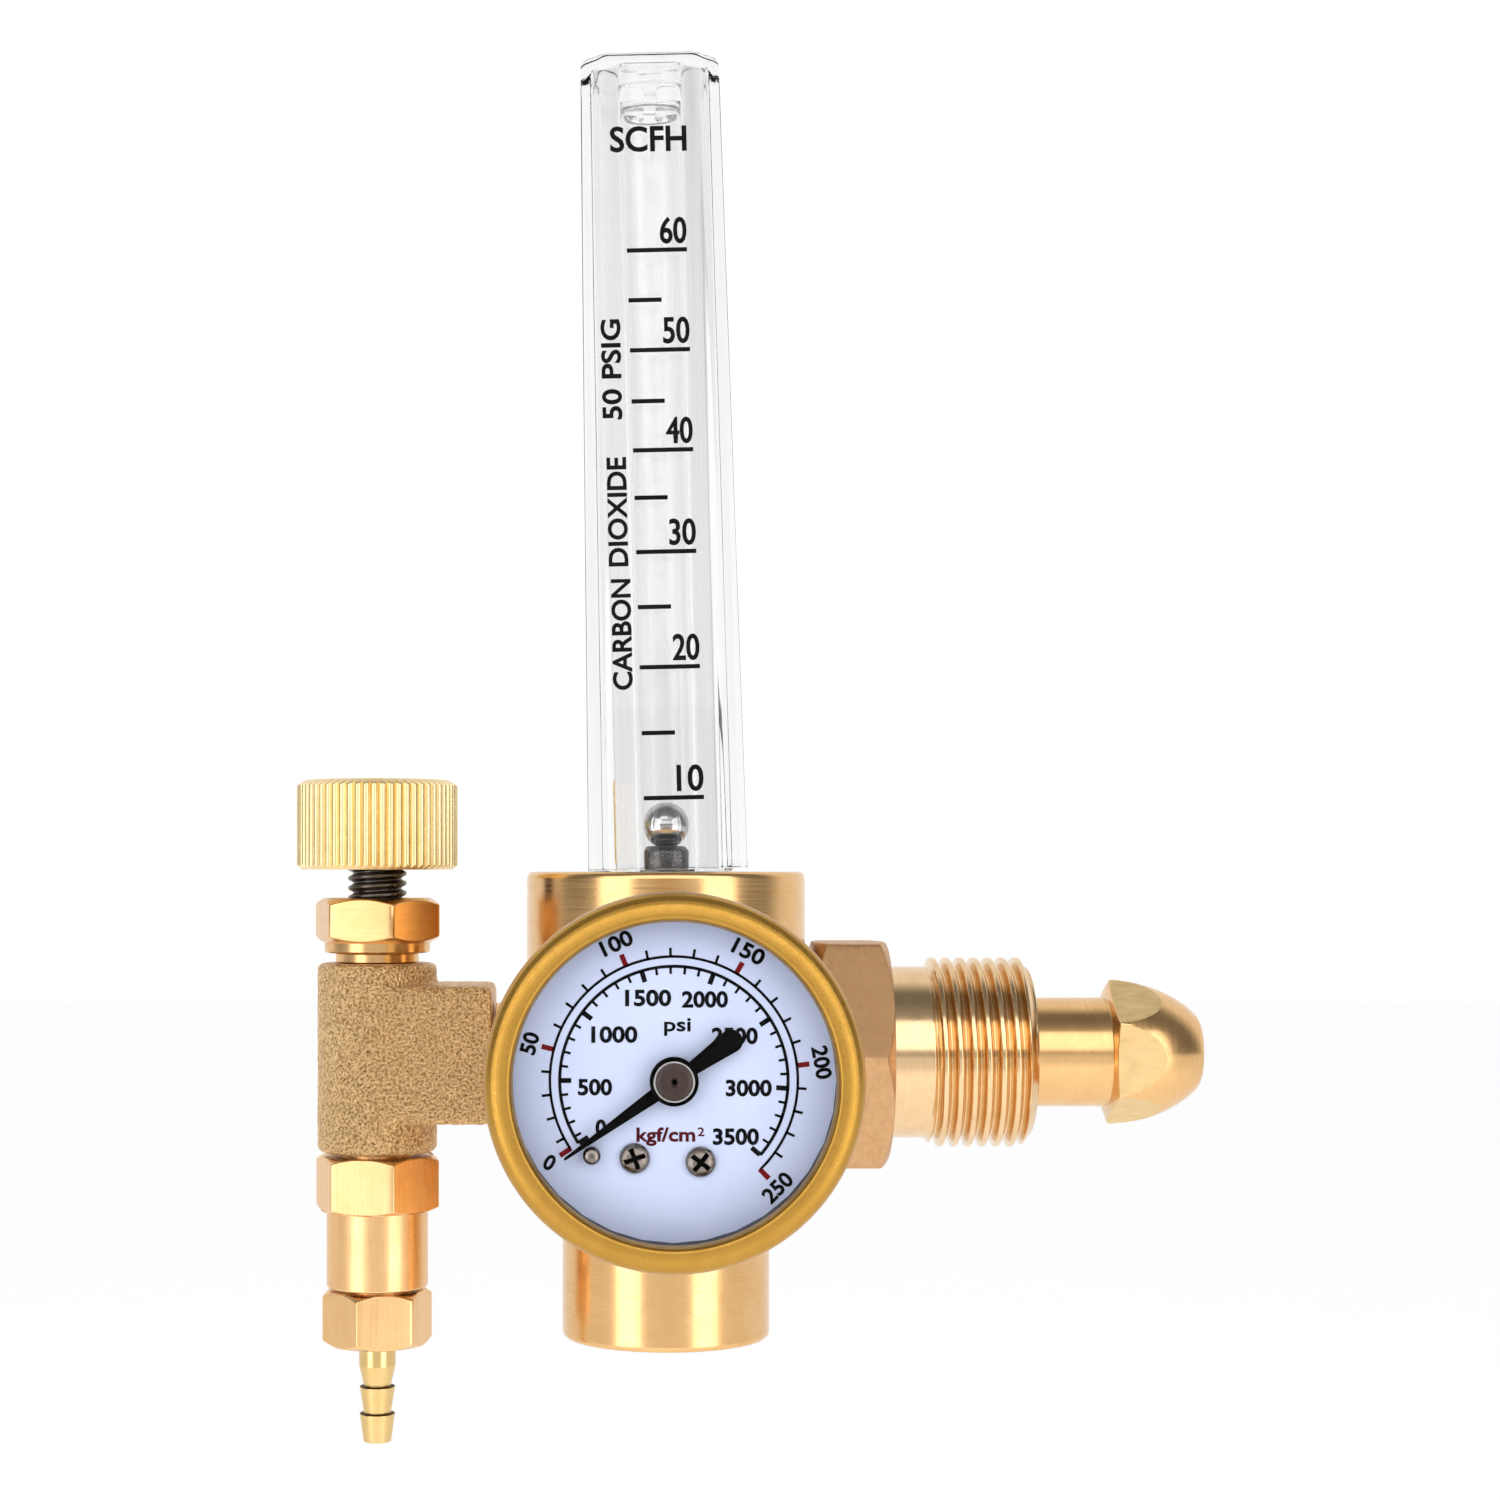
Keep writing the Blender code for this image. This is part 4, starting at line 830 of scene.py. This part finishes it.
def build_knob():
    """Knob with rounded ribs between narrow flutes, bevelled at both rims."""
    low, high = 23.65, 35.2
    columns = []
    for step in range(KNOB_FLUTES * 8):
        angle = math.tau * step / (KNOB_FLUTES * 8)
        rib = abs(math.sin(angle * KNOB_FLUTES / 2)) ** 0.62
        radius = 10.4 - 0.42 * (1 - rib)
        profile = [(0.0, low + 7.6), (3.9, low + 7.6), (3.9, low + 0.2), (4.1, low)]
        profile += chamfered(radius, 10.4, (9.7, low, low + 0.55), (9.4, high, high - 0.7), 0.1)
        profile += [(9.0, high), (0.0, high)]
        columns.append((angle, profile))
    finish_piece("fluted_knob", skin(columns, False), VALVE, KNOB, "knob_and_stem",
                 ["valve_knob"], sharp=32.0)


# ---------------------------------------------------------------- gauge

def build_case():
    outline = [(5.2, 26.5), (18.8, 26.5), (20.0, 27.7), (20.0, 48.3), (19.2, 48.3), (19.2, 28.1), (18.6, 27.5),
               (5.2, 27.5)]
    turned("gauge_case_shell", outline, GAUGE, CASE_STEEL, "regulator", ["gauge_case"], 160, 0.5)
    outline = [(20.2, 45.2), (21.2, 45.2), (21.2, 49.6), (21.1, 50.5), (20.8, 51.15), (20.3, 51.6), (19.8, 51.85),
               (19.3, 51.95), (18.75, 52.0), (18.35, 51.95), (18.1, 51.7), (17.95, 51.2), (17.85, 50.7),
               (17.85, 50.3), (20.2, 50.3)]
    turned("gauge_bezel_ring", outline, GAUGE, GOLD, "regulator", ["gauge_bezel"], 200, 0.12)
    outline = [(0.0, 48.5), (19.9, 48.5), (19.9, 50.1), (0.0, 50.1)]
    turned("gauge_lens_clear", outline, GAUGE, LENS, "regulator", ["gauge_lens"], 128)


DIAL_FRONT = 45.8
ZERO_ANGLE = 213.4
FULL_KGF = -45.9
FULL_PSI = -40.8
KGF_STEP = 10.57
PSI_STEP = 7.36


def mark_angle(mark, count, full, step):
    """Direction of a scale mark. Marks are evenly spaced, but the first space is short, as zero is at the pin."""
    return full + step * (count - mark) if mark else ZERO_ANGLE


def build_dial():
    outline = [(1.3, 45.3), (18.9, 45.3), (18.9, DIAL_FRONT), (1.3, DIAL_FRONT)]
    # The dial's blue-grey colour is painted reflection and shade; the sheet itself is white.
    turned("dial_sheet", outline, GAUGE, DIAL, "regulator", ["dial"], 128, edge=0.08)
    face = GAUGE @ Matrix.Translation((0, 0, DIAL_FRONT * MM))
    black = Print()
    red = Print()
    maroon = Print()
    black.ring(13.9, 0.30, ZERO_ANGLE, FULL_KGF)
    black.ring(12.8, 0.36, ZERO_ANGLE, FULL_PSI)
    for mark in range(26):
        angle = mark_angle(mark, 25, FULL_KGF, KGF_STEP)
        major = mark % 5 == 0
        ends = [arc((0, 0), radius, angle, angle, 1)[0] for radius in (13.8, 15.3 if major else 14.9)]
        (red if major else black).bar(*ends, 0.58 if major else 0.30)
    for mark in range(36):
        angle = mark_angle(mark, 35, FULL_PSI, PSI_STEP)
        major = mark % 5 == 0
        ends = [arc((0, 0), radius, angle, angle, 1)[0] for radius in (12.75, 11.5 if major else 11.95)]
        black.bar(*ends, 0.56 if major else 0.29)
    psi = (("0", -8.18, -5.0), ("500", -8.85, -0.45), ("1000", -6.67, 5.45), ("1500", -2.88, 9.55),
           ("2000", 3.48, 9.39), ("2500", 6.82, 5.3), ("3000", 8.39, -0.55), ("3500", 6.95, -6.0))
    for text, x, y in psi:
        black.text(text, (x, y - 0.3), 1.9, 1.32 * len(text) - 0.1, weight=0.09)
    for value, turn in ((50, 75), (100, 25), (150, -27), (200, -80), (250, 45), (0, -30)):
        angle = mark_angle(value / 10, 25, FULL_KGF, KGF_STEP)
        place = arc((0, 0), 16.7, angle, angle, 1)[0]
        black.text(str(value), place, 1.85, 1.28 * len(str(value)) - 0.1, angle=turn, weight=0.08)
    black.text("psi", (0.4, 6.0), 2.0, 3.0, weight=0.055)
    maroon.text("kgf/cm", (-0.9, -6.3), 2.1, 6.6, weight=0.07)
    maroon.text("2", (3.05, -5.75), 1.0, 0.75, weight=0.03)
    black.finish("dial_print_black", face, INK, "regulator")
    red.finish("dial_print_red", face, RED, "regulator")
    maroon.finish("dial_print_maroon", face, MAROON, "regulator")


def build_screws():
    for number, turn in ((1, 20.0), (2, 52.0)):
        node = f"dial_screw_{number}"
        place = middle(node)
        local = GAUGE.inverted() @ place
        here = GAUGE @ Matrix.Translation((local.x, local.y, 0.0))
        outline = [(0.0, 44.0), (0.8, 44.0), (0.8, 45.85), (1.72, 45.85), (1.72, 46.2), (1.5, 46.62), (1.0, 46.9),
                   (0.5, 47.0), (0.0, 47.0)]
        screw = turned(f"dial_screw_head_{number}", outline, here, SCREW_STEEL, "regulator",
                       [node], 48, 0.1)
        tools = []
        for extra in (0.0, 90.0):
            bm = slab([(-1.25, -0.27), (1.25, -0.27), (1.25, 0.27), (-1.25, 0.27)], 46.3, 47.5)
            tools.append(loose("screw_slot", bm, here @ Matrix.Rotation(math.radians(turn + extra), 4, "Z")))
            carve(screw, tools[-1])
        baked(screw)
        drop(*tools)
        # The floor of the cross recess is coloured black: painted shade, the screw head being steel all over.
        paint_faces(screw, BLACK_AND_RECESS_SHADE, lambda centre, normal: 46.25 < centre.z < 46.6 and normal.z > 0.95)
    local = GAUGE.inverted() @ middle("stop_pin")
    outline = [(0.0, 44.6), (0.45, 44.6), (0.45, 45.85), (1.0, 45.85), (1.0, 47.4), (0.75, 47.75), (0.35, 47.9),
               (0.0, 47.9)]
    turned("stop_pin_turned", outline, GAUGE @ Matrix.Translation((local.x, local.y, 0.0)), SCREW_STEEL,
           "regulator", ["stop_pin"], 40, 0.1)


def build_pointer():
    hub = [(0.75, 46.6), (2.73, 46.6), (2.73, 48.0), (2.32, 48.0), (2.32, 47.65), (0.75, 47.65)]
    pointer = turned("pointer_black", hub, POINTER, BLACK_AND_RECESS_SHADE, "pointer_unit", ["pointer"], 72, 0.07)
    needle = [(-7.8, 1.3)] + arc((-7.8, 0), 1.3, 90, 270, 14) + [(-2.0, -0.72), (2.0, -0.8), (15.0, -0.13),
              (15.1, 0.0), (15.0, 0.13), (2.0, 0.8), (-2.0, 0.72)]
    tools = [loose("needle", slab(needle[1:], 47.1, 47.5), POINTER)]
    carve(pointer, tools[0], "UNION")
    outline = [(0.0, 46.0), (0.75, 46.0), (0.75, 47.35), (0.0, 47.35)]
    tools.append(loose("hub_bore", skin([(angle, outline) for angle in spread(24)], False), POINTER))
    carve(pointer, tools[1])
    baked(pointer)
    drop(*tools)
    outline = [(0.3, 47.85), (0.35, 47.95), (0.7, 48.17), (1.6, 48.2), (2.1, 48.02), (2.1, 47.8), (0.5, 47.8)]
    turned("pointer_cap_brown", outline, POINTER, BROWN, "pointer_unit", ["pointer_cap"], 64, 0.06)
    outline = [(2.12, 47.7), (2.3, 47.7), (2.3, 48.06), (2.12, 48.06)]
    turned("pointer_cap_rim", outline, POINTER, STEEL, "pointer_unit", (), 64, 0.03)


# ---------------------------------------------------------------- CAD nodes that stay

KEPT = {
    "passage_plug": TURNED, "valve_seat": TURNED, "poppet": STEEL, "seat_disc": NYLON, "piston": TURNED,
    "piston_o_ring": RUBBER, "inlet_filter": BRONZE, "nut_ring": RUBBER, "tube_gasket": RUBBER,
    "stem_o_ring": RUBBER, "knob_screw": DARK_STEEL, "outlet_seal": NYLON, "gauge_socket": TURNED,
    "dial_spacer": RUBBER, "pointer_arbor": PALE, "sector_gear": PALE, "link": PALE, "bourdon_tube": BRONZE,
    "tube_tip": TURNED, "movement_back_plate": PALE, "movement_front_plate": PALE, "movement_pillar_1": PALE,
    "movement_pillar_2": PALE, "movement_pillar_3": PALE, "movement_pillar_4": PALE,
}


def dress_kept_nodes():
    for name, material in KEPT.items():
        mesh = frame["nodes"][name].data
        for index in range(len(mesh.materials)):
            mesh.materials[index] = material


# ---------------------------------------------------------------- stage

def build_floor():
    """A pale floor well below the part, which its own faint glow keeps even."""
    bm = bmesh.new()
    bmesh.ops.create_grid(bm, x_segments=8, y_segments=8, size=8.0)
    mesh = bpy.data.meshes.new("floor")
    bm.to_mesh(mesh)
    bm.free()
    floor = bpy.data.objects.new("floor", mesh)
    floor.location = (BODY_X, 0.0, cad_box[0][2] - 0.35)
    bpy.context.scene.collection.objects.link(floor)
    paint = plain("floor_paint", (0.90, 0.90, 0.90), (0.89, 0.89, 0.89), 0.9, scale=120.0)
    shader = paint.node_tree.nodes["Principled BSDF"]
    shader.inputs["Emission Color"].default_value = (1.0, 1.0, 1.0, 1.0)
    shader.inputs["Emission Strength"].default_value = 0.45
    shader.inputs["Specular IOR Level"].default_value = 0.0
    mesh.materials.append(paint)


def add_light(name, place, target, width, height, radiance):
    """A white rectangular softbox, by the brightness of its face."""
    light = bpy.data.lights.new(name, "AREA")
    light.shape = "RECTANGLE"
    light.size = width
    light.size_y = height
    light.energy = radiance * math.pi * width * height
    holder = bpy.data.objects.new(name, light)
    holder.location = place
    direction = Vector(target) - Vector(place)
    holder.rotation_euler = direction.to_track_quat("-Z", "Y").to_euler()
    bpy.context.scene.collection.objects.link(holder)


def build_lights():
    centre = Vector((BODY_X, 0.0, 0.03))
    for name, side in (("softbox_left", -1), ("softbox_right", 1)):
        angle = math.radians(43.0)
        offset = Vector((side * math.sin(angle), -math.cos(angle), -0.05))
        add_light(name, centre + offset, centre, 0.50, 1.3, 2.1)
    raised = math.radians(25.0)
    offset = Vector((0.0, -math.cos(raised), math.sin(raised)))
    add_light("softbox_top", centre + offset, centre, 1.2, 0.70, 1.6)


def build_world():
    """Studio surround: white behind the part, dim beside and above it, grey in front."""
    world = bpy.data.worlds.new("studio")
    world.use_nodes = True
    tree = world.node_tree
    bpy.context.scene.world = world
    place = add_node(tree, "ShaderNodeTexCoord").outputs["Generated"]
    across = add_node(tree, "ShaderNodeSeparateXYZ", {"Vector": place}).outputs["Y"]
    front = remap(tree, across, 0.50, 0.22, (-0.8, -0.3))
    back = remap(tree, across, 0.0, 0.82, (0.0, 0.35))
    total = add_node(tree, "ShaderNodeMath", {0: front, 1: back}, operation="ADD").outputs["Value"]
    tree.nodes["Background"].inputs["Color"].default_value = (1.0, 1.0, 1.0, 1.0)
    tree.links.new(total, tree.nodes["Background"].inputs["Strength"])


def build_camera():
    camera = bpy.data.objects.new("camera", bpy.data.cameras.new("camera"))
    camera.data.sensor_width = 36.0
    camera.data.lens = 62.1
    camera.data.shift_x = 0.09
    camera.data.shift_y = 0.08
    camera.data.clip_start = 0.01
    camera.location = (BODY_X - 0.0066, -0.336, 0.0236)
    camera.rotation_euler = (math.radians(90.0), 0.0, 0.0)
    bpy.context.scene.collection.objects.link(camera)
    bpy.context.scene.camera = camera


bpy.context.scene.view_settings.view_transform = "Standard"
build_body()
build_springs()
build_inlet_nut()
build_nipple()
build_cover()
build_tube()
build_ball()
build_scale()
build_tee()
build_valve()
build_case()
build_dial()
build_screws()
build_pointer()
ring_of("nut_slide_ring", 7.77, 0.5, 22.85, INLET, RUBBER, "nut_slider", ["nut_ring"])
dress_kept_nodes()
build_floor()
build_lights()
build_world()
build_camera()
